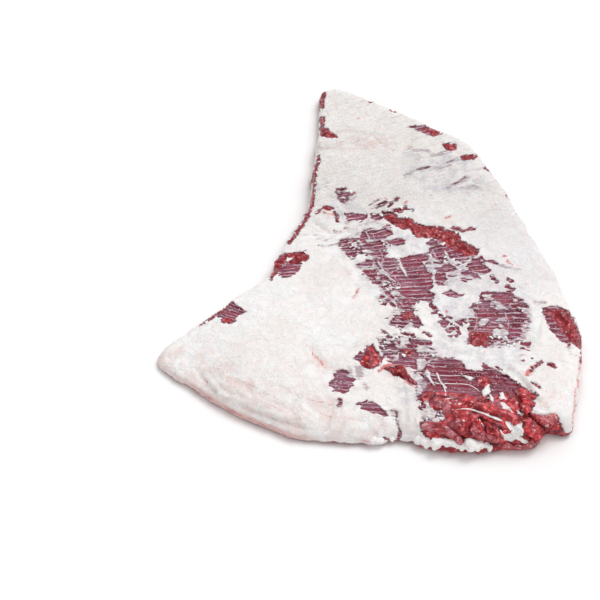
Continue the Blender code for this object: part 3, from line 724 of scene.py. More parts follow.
# Relief of the lean, most of it torn: (height in mm, half width in mm, points); cracks go down
TORN_RELIEF = {
    "bricks": [
        (1.5, 4.6, [(426, 391), (431, 392)]),
        (1.7, 5.0, [(437, 391), (441, 392)]),
        (1.5, 4.8, [(450, 392), (455, 393)]),
        (1.3, 4.6, [(462, 392), (467, 393)]),
        (1.7, 5.2, [(436, 401), (441, 401)]),
        (2.0, 5.2, [(450, 404), (455, 407)])],
    "red lump": [(2.0, 5.8, [(479, 383), (486, 384)])],
    "arcs": [
        (1.3, 1.9, [(487, 372), (498, 378), (506, 387), (510, 398), (511, 408)]),
        (1.3, 1.9, [(492, 371), (504, 378), (512, 388), (516, 400), (517, 410)]),
        (1.1, 1.7, [(484, 378), (494, 384), (501, 392), (505, 401)]),
        (1.1, 1.7, [(476, 372), (488, 377), (497, 383)])],
    "right slab": [(2.6, 4.8, [(522, 390), (526, 401), (527, 412)])],
    "long fold": [(3.2, 5.2, [(469, 405), (488, 410), (507, 416), (523, 423)])],
    "left lobe": [(3.2, 6.8, [(459, 415), (465, 423), (463, 430)])],
    "inner fold": [(2.6, 3.4, [(474, 417), (480, 424), (479, 434)])],
    "middle mass": [(3.2, 5.6, [(487, 424), (492, 431), (495, 440)])],
    "corner roll": [(3.6, 5.6, [(504, 447), (518, 450), (531, 447), (539, 439)])],
    "corner rise": [(2.8, 4.2, [(531, 428), (538, 433), (541, 437)])],
    "fans": [
        (2.2, 2.6, [(512, 421), (519, 428), (524, 437)]),
        (2.2, 2.4, [(518, 418), (527, 426), (532, 436)]),
        (2.0, 2.2, [(525, 415), (534, 422), (538, 430)])],
    "lobe fibres": [
        (3.9, 1.2, [(459, 413), (463, 422), (464, 432)]),
        (3.9, 1.1, [(465, 412), (467, 421), (467, 430)]),
        (3.6, 1.1, [(453, 416), (458, 424), (461, 432)])],
    "mass fibres": [
        (3.9, 1.1, [(489, 422), (491, 430), (491, 438)]),
        (3.8, 1.1, [(494, 424), (497, 432), (499, 440)])],
    "crack under the lobe": [(-3.4, 2.4, [(452, 433), (462, 438), (476, 441), (488, 443), (498, 445)])],
    "crack under the fold": [(-3.0, 1.8, [(479, 418), (491, 423), (503, 430)])],
    "crack beside the arcs": [(-3.0, 1.6, [(513, 390), (519, 400), (521, 411)])],
    "crack between bricks": [(-1.8, 1.2, [(423, 397), (436, 396), (448, 398), (462, 399)])],
    "crack at the notch": [(-3.0, 1.8, [(529, 414), (536, 421), (545, 428)])],
    "band lumps": [
        (1.6, 4.0, [(388, 218), (396, 221)]),
        (2.0, 3.4, [(410, 221), (411, 225)]),
        (1.8, 4.4, [(416, 228), (424, 233)]),
        (1.8, 4.2, [(433, 230), (441, 235)]),
        (1.8, 4.4, [(448, 236), (456, 241)]),
        (1.6, 4.0, [(461, 245), (470, 250)])],
    "crack beside the mass": [(-2.6, 1.5, [(482, 420), (485, 430), (486, 441)])],
    "crack in the corner": [(-2.6, 1.5, [(528, 436), (533, 441), (535, 447)])],
    "crack under the slab": [(-2.6, 1.5, [(516, 414), (526, 418), (533, 416)])],
    "knot cracks": [
        (-1.6, 0.9, [(370, 348), (373, 356), (370, 366)]),
        (-1.5, 0.9, [(365, 354), (374, 357), (379, 362)])],
    "knot lobes": [(2.2, 4.4, [(371, 351), (373, 357)]), (1.8, 3.4, [(366, 362), (373, 363)])],
    "block red lump": [(1.6, 5.0, [(478, 337), (484, 340)])],
    "rim lumps": [(1.8, 4.6, [(562, 314), (568, 321)]), (2.0, 5.0, [(568, 328), (574, 338)])],
    "raw roll": [(2.6, 3.4, [(384, 371), (393, 369), (402, 374), (411, 382)])],
    "raw roll crack": [(-1.6, 1.1, [(388, 374), (397, 375), (404, 381)])],
}

# Relief of the fat, likewise: lips of torn sheets, crumpled tabs and creases
FAT_RELIEF = {
    "pad lip": [(3.0, 3.8, [(512, 367), (519, 372), (527, 380), (533, 388), (539, 397)])],
    "pad crease": [(-2.2, 1.9, [(543, 361), (537, 365), (531, 369), (528, 377)])],
    "pad inner crease": [(-1.2, 1.8, [(528, 378), (536, 384), (543, 393)])],
    "right lip": [(1.5, 2.6, [(545, 317), (543, 328), (541, 342)])],
    "sheet lips": [
        (1.1, 1.9, [(314, 217), (324, 226), (338, 231), (352, 229), (362, 224)]),
        (1.0, 2.0, [(336, 262), (346, 268), (354, 278), (362, 288), (372, 296)]),
        (1.0, 2.0, [(434, 290), (440, 300), (446, 306), (458, 302), (468, 304)]),
        (1.2, 2.2, [(420, 328), (428, 330), (436, 336), (444, 344), (456, 350)])],
    "crumples": [
        (1.8, 2.4, [(326, 213), (331, 220), (328, 229)]),
        (1.6, 2.2, [(337, 207), (344, 213), (347, 221)]),
        (1.4, 2.0, [(318, 217), (323, 225)]),
        (1.5, 2.0, [(348, 226), (356, 229), (363, 226)])],
    "spike": [(2.6, 1.8, [(368, 213), (369, 218), (368, 223)])],
    "band tab": [(1.8, 2.6, [(384, 211), (392, 210), (400, 208)])],
    "knot tabs": [
        (1.8, 2.6, [(398, 378), (404, 382), (410, 388)]),
        (1.6, 2.2, [(356, 346), (362, 344), (368, 341)])],
    "curls": [
        (2.2, 2.4, [(443, 333), (449, 338), (457, 340)]),
        (1.6, 2.2, [(458, 318), (464, 320), (469, 318)])],
    "torn rims": [
        (1.6, 2.2, [(524, 400), (530, 408), (540, 414), (552, 412)]),
        (1.4, 2.2, [(417, 384), (419, 396), (418, 410), (419, 424)])],
    "stars": [
        (1.2, 1.6, [(402, 244), (410, 242), (418, 247)]),
        (1.2, 1.5, [(410, 233), (410, 242), (406, 250)])],
    "front crack": [(-2.6, 2.4, [(396, 411), (397, 421), (400, 432), (399, 440)])],
    "cracks": [
        (-0.9, 1.3, [(510, 268), (524, 274), (534, 284)]),
        (-0.9, 1.3, [(436, 196), (456, 190), (480, 190)]),
        (-0.8, 1.5, [(348, 140), (362, 133), (378, 134), (388, 142)]),
        (-0.9, 1.4, [(325, 100), (334, 96), (346, 96)]),
        (-0.9, 1.4, [(323, 108), (334, 104), (352, 104)]),
        (-0.8, 1.2, [(330, 118), (346, 114), (362, 116)]),
        (-0.8, 1.3, [(386, 148), (408, 145), (424, 140)])],
    "front folds": [
        (-1.4, 2.2, [(196, 368), (206, 382), (216, 394)]),
        (-1.3, 2.0, [(212, 366), (222, 380), (236, 390)]),
        (-1.1, 1.8, [(244, 384), (262, 394), (282, 400)]),
        (-1.0, 2.4, [(180, 370), (206, 390), (228, 402)]),
        (-1.0, 2.4, [(254, 412), (276, 420), (306, 430)]),
        (-1.2, 2.0, [(330, 398), (334, 412), (328, 428)]),
        (-1.0, 1.8, [(352, 410), (362, 422), (384, 428)]),
        (-1.5, 1.8, [(338, 402), (342, 418), (338, 436)]),
        (-1.3, 1.6, [(366, 420), (370, 430), (368, 440)]),
        (-1.5, 1.8, [(381, 420), (386, 430), (384, 440)])],
    "front tabs": [
        (1.2, 2.8, [(226, 397), (236, 398)]),
        (1.2, 2.8, [(266, 396), (278, 400)]),
        (1.3, 3.0, [(300, 404), (308, 410)]),
        (1.2, 2.8, [(322, 404), (332, 408)]),
        (1.1, 3.0, [(246, 404), (252, 410)])],
    "front rolls": [
        (1.4, 3.6, [(352, 424), (354, 434), (353, 441)]),
        (1.4, 3.4, [(376, 424), (378, 434), (377, 441)]),
        (1.2, 3.4, [(410, 402), (411, 416), (410, 430)])],
    "lobe sweeps": [
        (0.9, 5.0, [(247, 332), (262, 312), (284, 296), (306, 286)]),
        (-0.8, 4.0, [(262, 340), (276, 322), (296, 308), (318, 300)]),
        (0.8, 4.5, [(300, 350), (316, 338), (338, 330), (356, 326)])],
    "front dents": [(-1.0, 4.0, [(300, 404), (312, 410)]), (-1.0, 4.0, [(404, 390), (406, 410)])],
}

# Where the fat is only a thin cool film over the lean
FILMS = {
    "upper": [(346, 226), (372, 220), (420, 240), (492, 262), (530, 292), (534, 344), (500, 362),
              (470, 352), (436, 336), (430, 300), (384, 306), (366, 288), (352, 262)],
    "upper left": [(330, 195), (352, 200), (368, 212), (366, 228), (344, 226), (334, 214)],
    "lower": [(418, 336), (470, 350), (520, 352), (534, 362), (512, 372), (470, 366), (420, 352)],
    "front": [(396, 388), (424, 384), (426, 402), (412, 404), (398, 406)],
    "left edge": [(336, 240), (352, 236), (360, 262), (342, 258)],
    "far": [(404, 152), (470, 156), (492, 190), (470, 196), (430, 190), (402, 176)],
}

# Torn flaps, each between two edges that run side by side: how far its middle stands up
# in mm, then the points of its root and of its free edge
FLAPS = {
    "left flap": (3.0, [(420, 424), (432, 423), (443, 425), (451, 429), (458, 434), (463, 445)],
                  [(421, 432), (432, 434), (440, 434), (449, 437), (456, 442), (462, 448)]),
    "notch flap": (2.8, [(530, 413), (538, 416), (546, 417), (554, 415), (558, 417)],
                   [(534, 421), (541, 425), (547, 427), (553, 424), (559, 422)]),
    "corner flap": (2.2, [(503, 443), (514, 445), (525, 445), (533, 440)],
                    [(504, 450), (515, 452), (527, 451), (537, 444)]),
    "middle flap": (2.2, [(470, 428), (478, 431), (487, 433), (495, 437)],
                    [(472, 437), (480, 441), (488, 442), (496, 444)]),
}

# Pale membrane that clings to the torn muscle: (half width in mm, points)
MEMBRANES = {
    "brick rims": [(1.6, [(424, 396), (434, 396), (446, 397), (458, 398), (468, 398)])],
    "brick sides": [(1.3, [(432, 388), (433, 396)]), (1.3, [(445, 388), (446, 398)])],
    "brick body": [(4.0, [(430, 402), (446, 404), (446, 412)])],
    "fold rim": [(1.2, [(449, 403), (468, 402), (484, 405)])],
    "fold top": [(1.4, [(504, 414), (512, 417), (518, 420)])],
    "flecks veil": [(3.6, [(493, 400), (498, 404), (502, 408)])],
    "slab lilac": [(1.4, [(510, 393), (514, 393), (519, 390)])],
    "slab side": [(0.9, [(528, 404), (529, 411)])],
    "flap veil": [(2.4, [(423, 421), (431, 421)])],
    "lobe rim": [(1.0, [(452, 415), (460, 409), (470, 409), (478, 412)])],
    "arc lines": [
        (0.8, [(489, 374), (500, 381), (507, 391), (509, 402)]),
        (0.8, [(496, 372), (507, 381), (514, 392), (516, 402)])],
    "purple arcs": [(5.0, [(508, 384), (514, 394)])],
    "corner side": [(2.0, [(508, 440), (520, 445), (530, 446)])],
    "mass side": [(1.6, [(482, 436), (490, 438)])],
    "rim veil": [(4.0, [(548, 314), (556, 328), (566, 342)])],
    "rim top": [(1.6, [(552, 306), (562, 308)])],
    "knot sheen": [(1.8, [(367, 349), (372, 356), (371, 364)])],
    "knot side": [(1.4, [(376, 354), (380, 360)])],
}


# ---- Small sums -------------------------------------------------------------------------

def tone(name):
    """A named colour as Blender's linear red, green, blue, alpha, for the studio's light."""
    linear = [((c / 255 + 0.055) / 1.055) ** 2.4 * LIGHT_SHARE for c in COLOURS[name]]
    return (*linear, 1.0)


def ease(values, low, high):
    """0 below low, 1 above high and a smooth rise between, also with low above high."""
    share = np.clip((values - low) / (high - low), 0, 1)
    return share * share * (3 - 2 * share)


def lattice(spots):
    """Gradient noise at each spot, with bumps one unit across."""
    cell = np.floor(spots).astype(np.int64)
    part = spots - cell
    fade = part ** 3 * (part * (part * 6 - 15) + 10)
    total = np.zeros(len(spots))
    for corner in itertools.product((0, 1), repeat=3):
        code = (cell + corner) @ CELL_PRIMES
        code = ((code ^ (code >> 13)) * CODE_PRIME) & 0x7FFFFFFF
        turn = (code % SLOPES) * (2 * math.pi / SLOPES)
        lift = ((code >> 12) % SLOPES) / (SLOPES / 2) - 1
        flat = np.sqrt(1 - lift ** 2)
        away = part - corner
        slope = flat * np.cos(turn) * away[:, 0] + flat * np.sin(turn) * away[:, 1]
        slope += lift * away[:, 2]
        total += slope * np.prod(np.where(corner, fade, 1 - fade), axis=1)
    return 1.6 * total                              # its peaks then come to about 1


def unevenness(spots, wave, pattern):
    """Bumps of a wave's height at each spot, in mm; the pattern picks which."""
    height, size, octaves = wave
    total = np.zeros(len(spots))
    for octave in range(octaves):
        total += 0.5 ** octave * lattice(spots / size * 2 ** octave + 19.7 * pattern)
    return height * total


# ---- Reading the photograph's outlines --------------------------------------------------

def camera_axes():
    """Where the camera is, and its directions ahead and up the picture."""
    tilt = math.radians(CAMERA_TILT)
    ahead = np.array([0, math.cos(tilt), -math.sin(tilt)])
    above = np.array([0, math.sin(tilt), math.cos(tilt)])
    place = np.array(CAMERA_TARGET) - CAMERA_AWAY * ahead
    return place, ahead, above


def pixels_of(places):
    """Where world points show in the photograph."""
    place, ahead, above = camera_axes()
    away = places - place
    depth = away @ ahead
    return np.column_stack([PHOTO_SIDE / 2 + FOCAL * away[:, 0] / depth,
                            PHOTO_SIDE / 2 - FOCAL * (away @ above) / depth])


def flatten(pixels):
    """Pixels with the picture's height stretched back, so that one unit is about 1 mm."""
    return np.asarray(pixels, float) * (1, 1 / SQUEEZE)


def line_distance(spots, points, closed=False):
    """Distance from each spot to the line through the points."""
    best = np.full(len(spots), np.inf)
    ends = np.roll(points, -1, axis=0) if closed else np.vstack([points[1:], points[-1:]])
    for start, end in zip(points, ends):
        run = end - start
        share = np.clip(((spots - start) @ run) / max(run @ run, TINY), 0, 1)
        best = np.minimum(best, np.linalg.norm(spots - start - share[:, None] * run, axis=1))
    return best


def inside_of(spots, points):
    """How far each spot lies inside a closed outline; negative outside."""
    odd = np.zeros(len(spots), bool)
    x, y = spots.T
    for (x0, y0), (x1, y1) in zip(points, np.roll(points, -1, axis=0)):
        crosses = (y0 > y) != (y1 > y)
        odd ^= crosses & (x < (x1 - x0) * (y - y0) / (y1 - y0 + TINY) + x0)
    distance = line_distance(spots, points, closed=True)
    return np.where(odd, distance, -distance)


def spots_near(spots, points, reach):
    """Which spots lie within reach of the box round some points."""
    low, high = points.min(axis=0) - reach, points.max(axis=0) + reach
    return np.flatnonzero(((spots > low) & (spots < high)).all(axis=1))


def felt(spots, outlines):
    """The greatest depth inside any outline at each spot, from -REACH to REACH mm.

    An outline is its points and a half width, or None where it is closed.
    """
    best = np.full(len(spots), -REACH)
    for pixels, half_width in outlines:
        points = flatten(pixels)
        near = spots_near(spots, points, REACH)
        if half_width is None:
            depth = inside_of(spots[near], points)
        else:
            depth = half_width - line_distance(spots[near], points)
        best[near] = np.maximum(best[near], depth)
    return np.clip(best, -REACH, REACH)


def strokes_of(table):
    """All the strokes of a table of named lists."""
    return [stroke for strokes in table.values() for stroke in strokes]


def closed(table):
    """A table's closed outlines, which have no width."""
    return [(pixels, None) for pixels in table.values()]


def drawn(table):
    """A table's strokes, each as its points and its half width."""
    return [(pixels, half_width) for half_width, pixels in strokes_of(table)]


def bundle_of(spots):
    """Which fibre bundle each spot lies on, as a number that grows down the picture."""
    u, v = spots[:, 0], spots[:, 1] * SQUEEZE
    slope = np.interp(v, list(BUNDLE_SLOPES), list(BUNDLE_SLOPES.values()))
    lean_over = -THIN_CORNER_SLOPE * np.minimum(u - THIN_CORNER_U, 0)
    return (v + slope * (u - BUNDLE_MIDDLE_U) + lean_over) / SQUEEZE / BUNDLE_PITCH


def drawn_out(spots, bundle, pattern):
    """Places for noise that is drawn out along the fibre bundles."""
    length, pitch = pattern
    return np.column_stack([spots[:, 0] / length, bundle * pitch, np.zeros(len(spots))])


def wall_height(places):
    """How high lean shows up the side, in mm."""
    weights, total = 0, 0
    for x, y, height in WALL_LEAN.values():
        weight = 1 / (np.linalg.norm(places[:, :2] - (x, y), axis=1) ** 2 + WALL_BLEND ** 2) ** 2
        weights = weights + weight
        total = total + weight * height
    return total / weights


def blush_of(spots):
    """How strongly the fat blushes at each spot: 1 in the middle of a blush."""
    total = np.zeros(len(spots))
    for u, v, length, width, degrees in BLUSHES.values():
        turn = math.radians(degrees)
        turned = np.array([[math.cos(turn), -math.sin(turn)], [math.sin(turn), math.cos(turn)]])
        away = (spots - flatten([u, v])) @ turned
        total += np.exp(-((away / (length, width)) ** 2).sum(axis=1))
    return total


def strip_of(places):
    """How clearly each place lies on the pinkish cut strip, from 0 to 1."""
    height = places[:, 2] / MM
    strip = ease(height, STRIP_TOP + 1.5, STRIP_TOP - 1.5) * ease(height, *STRIP_FOOT)
    for axis, low, high in ZONES["strip"]:
        strip *= ease(places[:, axis], low, high)
    return strip * (0.35 + 0.65 * ease(places[:, X], *STRIP_FADE))


def hidden_share(solid, normals):
    """1 on the sides turned away from the photograph's camera, where no outline is read."""
    return ease(normals @ camera_axes()[1], *TURNED_AWAY) * ease(solid[:, 2], *SIDE_TOP)


def read_surface(places, normals):
    """What shows at each place of the slab: a dictionary of fields, lengths in mm."""
    spots = flatten(pixels_of(places))
    solid = places / MM
    bundle = bundle_of(spots)
    wander = np.column_stack([
        unevenness(solid, WANDER_ASIDE, 1) + unevenness(solid, WANDER_FINE, 7),
        unevenness(solid, WANDER_UP, 2) + unevenness(solid, WANDER_FINE, 8)])
    ragged = spots + wander
    combed = np.column_stack([COMB * lattice(drawn_out(spots, bundle, COMB_PATTERN)),
                              np.zeros(len(spots))])

    striped = felt(spots + 0.7 * wander + combed, closed(STRIPED) + drawn(STRIPED_LINES))
    raw = felt(ragged, closed(RAW) + drawn(RAW_LINES))
    flecks = unevenness(drawn_out(spots, bundle, FLECK_PATTERN), FLECK_WAVE, 3)
    mottled = np.minimum(felt(ragged, closed(MOTTLED)), flecks + 0.3)
    streaks = unevenness(drawn_out(spots, bundle, STREAK_PATTERN), STREAK_WAVE, 6)
    broken_area = felt(ragged + combed, closed(BROKEN))
    broken = np.minimum(broken_area, streaks - 1.2)
    veil = felt(spots + 0.8 * wander, closed(VEILED) + drawn(VEILED_LINES))
    veil = np.maximum(veil, np.minimum(broken_area - 0.8, 0.8))

    fat_over = felt(ragged, closed(ISLANDS))
    fat_over = np.maximum(fat_over, felt(spots + 0.4 * wander, drawn(WHITE_LINES)))
    lean = np.maximum.reduce([striped + STRIPED_SPREAD, raw + RAW_SPREAD, mottled, broken])
    teeth = lattice(drawn_out(spots, bundle, TEETH_PATTERN))
    lean += COMB_TEETH * teeth * (1 - 0.6 * ease(raw, -2, 1))
    lean = np.minimum(lean, -fat_over - ISLAND_SPREAD)

    hidden = hidden_share(solid, normals)
    unread = 2 * REACH * hidden
    wall = wall_height(places) + unevenness(solid, WALL_EDGE, 4) - solid[:, 2]
    shown_wall = np.clip(wall, -REACH, REACH)
    cracks = [(pixels, 0.5 * half_width)
              for height, half_width, pixels in strokes_of(TORN_RELIEF) if height < 0]
    return {
        "lean": np.maximum(lean - unread, shown_wall),
        "raw": np.maximum(raw - unread, shown_wall),
        "veil": veil - unread,
        "dark_veil": felt(spots + 0.5 * wander, drawn(DARK_LINES)),
        "blood": felt(ragged, drawn(BLOOD_LINES)) - unread,
        "blush": blush_of(spots),
        "crease": felt(spots + wander, drawn(CREASES)),
        "thread": felt(spots + 0.8 * wander, drawn(LILAC_LINES)),
        "film": felt(ragged, closed(FILMS)),
        "torn": felt(spots, closed(TORN)),
        "membrane": felt(ragged, drawn(MEMBRANES)),
        "pit": felt(spots + 0.6 * wander, cracks),
        "strip": strip_of(places),
        "seen": 1 - hidden,
        "bundle": bundle,
        "wall": wall,
    }


def relief_of(features, spots):
    """Height of the named lumps, folds and cracks at each spot, in mm."""
    up, down = np.zeros(len(spots)), np.zeros(len(spots))
    for height, half_width, pixels in strokes_of(features):
        points = flatten(pixels)
        near = spots_near(spots, points, half_width)
        share = np.clip(line_distance(spots[near], points) / half_width, 0, 1)
        if height > 0:
            up[near] = np.maximum(up[near], height * np.sqrt(1 - share ** 2))
        else:
            down[near] = np.minimum(down[near], height * (1 - share ** 2))
    return up + down


# ---- Modelling helpers ------------------------------------------------------------------

def pick_only(obj):
    bpy.ops.object.select_all(action="DESELECT")
    obj.select_set(True)
    bpy.context.view_layer.objects.active = obj


def apply_modifier(obj, kind, **settings):
    modifier = obj.modifiers.new(kind.title(), kind)
    for key, value in settings.items():
        setattr(modifier, key, value)
    pick_only(obj)
    bpy.ops.object.modifier_apply(modifier=modifier.name)


def triples(items, key):
    """One named x, y and z of each vertex or face."""
    values = np.empty(len(items) * 3, np.float32)
    items.foreach_get(key, values)
    return values.reshape(-1, 3).astype(float)


def vertex_places(obj):
    return triples(obj.data.vertices, "co")


def vertex_normals(obj):
    return triples(obj.data.vertex_normals, "vector")


def face_centres(obj):
    return triples(obj.data.polygons, "center")


def face_normals(obj):
    return triples(obj.data.polygons, "normal")


def put_vertices(obj, places):
    obj.data.vertices.foreach_set("co", places.ravel())
    obj.data.update()


def roughened(obj, wave, pattern):
    """Where an object's vertices come to lie when a wave's bumps push them outwards."""
    places = vertex_places(obj)
    swell = unevenness(places / MM, wave, pattern)
    return places + vertex_normals(obj) * swell[:, None] * MM


def pick_faces(obj, chosen):
    """Enter edit mode with only the chosen faces selected."""
    pick_only(obj)
    bpy.ops.object.mode_set(mode="EDIT")
    bpy.ops.mesh.select_mode(type="FACE")
    bpy.ops.mesh.select_all(action="DESELECT")
    bpy.ops.object.mode_set(mode="OBJECT")
    obj.data.polygons.foreach_set("select", chosen)
    bpy.ops.object.mode_set(mode="EDIT")


def note_field(obj, name, values):
    """Keep one number at each vertex for the material to read."""
    layer = obj.data.attributes.new(name, "FLOAT", "POINT")
    layer.data.foreach_set("value", np.asarray(values, np.float32))


# ---- The slab ---------------------------------------------------------------------------

def fine_copy(node):
    """The solid as an even, fine skin of squares with its facets smoothed away."""
    slab = bpy.data.objects.new("marbled_slab", node.data.copy())
    bpy.context.scene.collection.objects.link(slab)
    slab.data.materials.clear()
    pick_only(slab)
    bpy.ops.object.mode_set(mode="EDIT")
    bpy.ops.mesh.select_all(action="SELECT")
    bpy.ops.mesh.remove_doubles(threshold=WELD)
    bpy.ops.object.mode_set(mode="OBJECT")
    apply_modifier(slab, "REMESH", mode="VOXEL", voxel_size=VOXEL)
    places = vertex_places(slab)
    normals = vertex_normals(slab)
    torn = felt(flatten(pixels_of(places)), closed(TORN_FRONT))
    even = ease(places[:, 2], CAP_LOW, CAP_LOW + 4 * MM) * ease(normals[:, 2], 0.5, 0.8)
    even *= ease(torn, 1, -5)
    cap = slab.vertex_groups.new(name="cap")
    for index in np.flatnonzero(even > 0.02):
        cap.add([int(index)], float(even[index]), "REPLACE")
    apply_modifier(slab, "SMOOTH", factor=0.5, iterations=2)
    apply_modifier(slab, "SMOOTH", factor=0.6, iterations=CAP_SMOOTHING, vertex_group="cap")
    slab.vertex_groups.clear()
    return slab


def refine_lean(slab):
    """Halve the squares where lean shows, then again along its borders with the fat."""
    for reach_in, reach_out in HALVED:
        centres = face_centres(slab)
        lean = read_surface(centres, face_normals(slab))["lean"]
        above = centres[:, 2] > CAP_LOW
        pick_faces(slab, (lean < reach_in) & (lean > -reach_out) & above)
        bpy.ops.mesh.subdivide(number_cuts=1)
        bpy.ops.object.mode_set(mode="OBJECT")


def fat_relief(solid, spots, grain, field):
    """Swells, lumps and fine lines of the fat, its rolled lip and its pressed creases."""
    uneven_lip = 0.6 + 0.8 * unevenness(solid, LIP_WAVE, 5)
    lip = LIP_HEIGHT * uneven_lip * np.exp(-((field["lean"] + LIP_AWAY) / LIP_WIDTH) ** 2)
    lined = 0.25 + 0.75 * ease(spots[:, 1] * SQUEEZE, *LINED_V)
    total = unevenness(solid, FAT_SWELLS, 10) + unevenness(solid, FAT_LUMPS, 11)
    total += lined * unevenness(grain, FAT_STRIAE, 12) + lip
    pressed = np.exp(-(np.minimum(field["crease"], 0) / CREASE_WIDTH) ** 2)
    return total - CREASE_DEPTH * pressed * (field["crease"] > -REACH)


def raw_relief(solid, torn):
    """Crags and grains of open muscle, coarser where it is torn."""
    total = (1 - 0.5 * torn) * unevenness(solid, RAW_CRAGS, 14)
    total += unevenness(solid, RAW_GRAINS, 15)
    return total + torn * (0.6 + unevenness(solid, TORN_CRAGS, 16))


def relief(places, field):
    """How far each place of the slab moves outwards, in mm."""
    solid = places / MM
    spots = flatten(pixels_of(places))
    grain = drawn_out(spots, field["bundle"], GRAIN_PATTERN)
    lean = ease(field["lean"], -STEP_WIDTH / 2, STEP_WIDTH / 2)
    raw = lean * ease(field["raw"], -1.5, 1.0)
    torn = ease(felt(spots, closed(TORN_FRONT)), -1, 4)
    striped = BUNDLE_RIDGE * np.cos(2 * math.pi * field["bundle"]) - STEP_DOWN
    striped += unevenness(grain, FIBRE_WAVE, 13)
    total = (1 - lean) * fat_relief(solid, spots, grain, field) + lean * (striped + 0.6 * raw)
    total += raw * (raw_relief(solid, torn) - 0.4 * striped)
    strayed = spots + np.column_stack([unevenness(solid, RELIEF_WANDER, 20),
                                       unevenness(solid, RELIEF_WANDER, 21)])
    total += np.maximum(lean, ease(field["torn"], 0, 2)) * relief_of(TORN_RELIEF, strayed)
    total += (1 - lean) * relief_of(FAT_RELIEF, strayed)
    on_wall = ease(solid[:, 2], CAP_LOW / MM + 2, CAP_LOW / MM - 2)
    wall = WALL_SWELL + unevenness(solid * (1, 1, 1.8), WALL_CRAGS, 17)
    total = total * (1 - on_wall) + on_wall * wall
    return total * ease(solid[:, 2], *FOOT_FADE)


def make_slab():
    slab = fine_copy(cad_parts["beef_top_rib"])
    refine_lean(slab)
    places = vertex_places(slab)
    normals = vertex_normals(slab)
    field = read_surface(places, normals)
    moved = places + normals * (relief(places, field) * MM)[:, None]
    flat = (places[:, 2] < UNDERSIDE) & (normals[:, 2] < -0.7)
    moved[flat, 2] = 0
    moved[:, 2] = np.maximum(moved[:, 2], 0)
    put_vertices(slab, moved)
    for name, values in field.items():
        if name != "wall":
            note_field(slab, name, values)
    close_underside(slab)
    slab.data.shade_smooth()
    return slab, moved, normals, field


def close_underside(slab):
    """Swap the many squares of the flat underside for a few large faces."""
    under = (face_centres(slab)[:, 2] < UNDERSIDE / 2) & (face_normals(slab)[:, 2] < -0.9)
    pick_faces(slab, under)
    bpy.ops.mesh.delete(type="FACE")
    bpy.ops.mesh.select_mode(type="EDGE")
    bpy.ops.mesh.select_non_manifold()
    bpy.ops.mesh.fill(use_beauty=True)
    bpy.ops.mesh.select_all(action="SELECT")
    bpy.ops.mesh.normals_make_consistent(inside=False)
    bpy.ops.object.mode_set(mode="OBJECT")


# ---- Pieces that lie on the slab --------------------------------------------------------

def top_finder(slab):
    """A function that finds where a pixel of the photograph meets the slab."""
    skin = BVHTree.FromObject(slab, bpy.context.evaluated_depsgraph_get())
    place, ahead, above = camera_axes()

    def find(u, v):
        ray = ahead * FOCAL + np.array([1, 0, 0]) * (u - PHOTO_SIDE / 2)
        ray = ray + above * (PHOTO_SIDE / 2 - v)
        return skin.ray_cast(Vector(place), Vector(ray).normalized())[0]
    return find


def join_pieces(pieces, name):
    bpy.ops.object.select_all(action="DESELECT")
    for piece in pieces:
        piece.select_set(True)
    bpy.context.view_layer.objects.active = pieces[0]
    bpy.ops.object.join()
    joined = bpy.context.view_layer.objects.active
    joined.name = name
    joined.data.name = name
    joined.data.shade_smooth()
    return joined


def rough_lump(name, spot, radii, turn, pattern):
    """A rounded, uneven lump: a ball drawn out, pressed flat below and roughened."""
    bpy.ops.mesh.primitive_ico_sphere_add(subdivisions=4, radius=1.0, location=spot)
    lump = bpy.context.active_object
    lump.name = name
    lump.scale = radii
    lump.rotation_euler = (0, 0, turn)
    pick_only(lump)
    bpy.ops.object.transform_apply(location=True, rotation=True, scale=True)
    size = 1.3 * min(radii) / MM
    moved = roughened(lump, (LUMP_ROUGH * size, size, 3), pattern)
    moved[:, 2] = np.maximum(moved[:, 2], LUMP_FOOT * MM)
    put_vertices(lump, moved)
    return lump


def make_edge_lumps(find):
    """Loose white fat that hangs in a row under the front edge, each lump with a crumb."""
    dice = random.Random(4)
    lumps = []
    for index, (u, v, radius) in enumerate(EDGE_LUMPS):
        spot = find(u, v - 2)
        if spot is None:
            continue
        radius *= MM
        radii = (radius * dice.uniform(0.9, 1.15), radius * dice.uniform(0.8, 1.0),
                 radius * dice.uniform(0.75, 1.0))
        place = (spot.x, spot.y, max(spot.z - 0.3 * radius, radii[2] * 0.9))
        lumps.append(rough_lump(f"lump_{index}", place, radii, dice.uniform(-0.5, 0.5), index))
        small = radius * dice.uniform(0.25, 0.60)
        offset = dice.uniform(-1, 1) * radius
        beside = (place[0] + offset, place[1] - dice.uniform(0.2, 0.7) * radius,
                  max(place[2] - dice.uniform(0.2, 0.8) * radius, small))
        lumps.append(rough_lump(f"crumb_{len(lumps)}", beside, (small, small, small),
                                0, len(lumps) + 40))
    row = join_pieces(lumps, "edge_fat_lumps")
    apply_modifier(row, "REMESH", mode="VOXEL", voxel_size=LUMP_VOXEL)
    apply_modifier(row, "SMOOTH", factor=0.5, iterations=2)
    put_vertices(row, roughened(row, LUMP_WAVE, 31))
    row.data.shade_smooth()
    return row


def between(start, end, share):
    """The pixel at a share of the way from one pixel to another."""
    return [first + (last - first) * share for first, last in zip(start, end)]


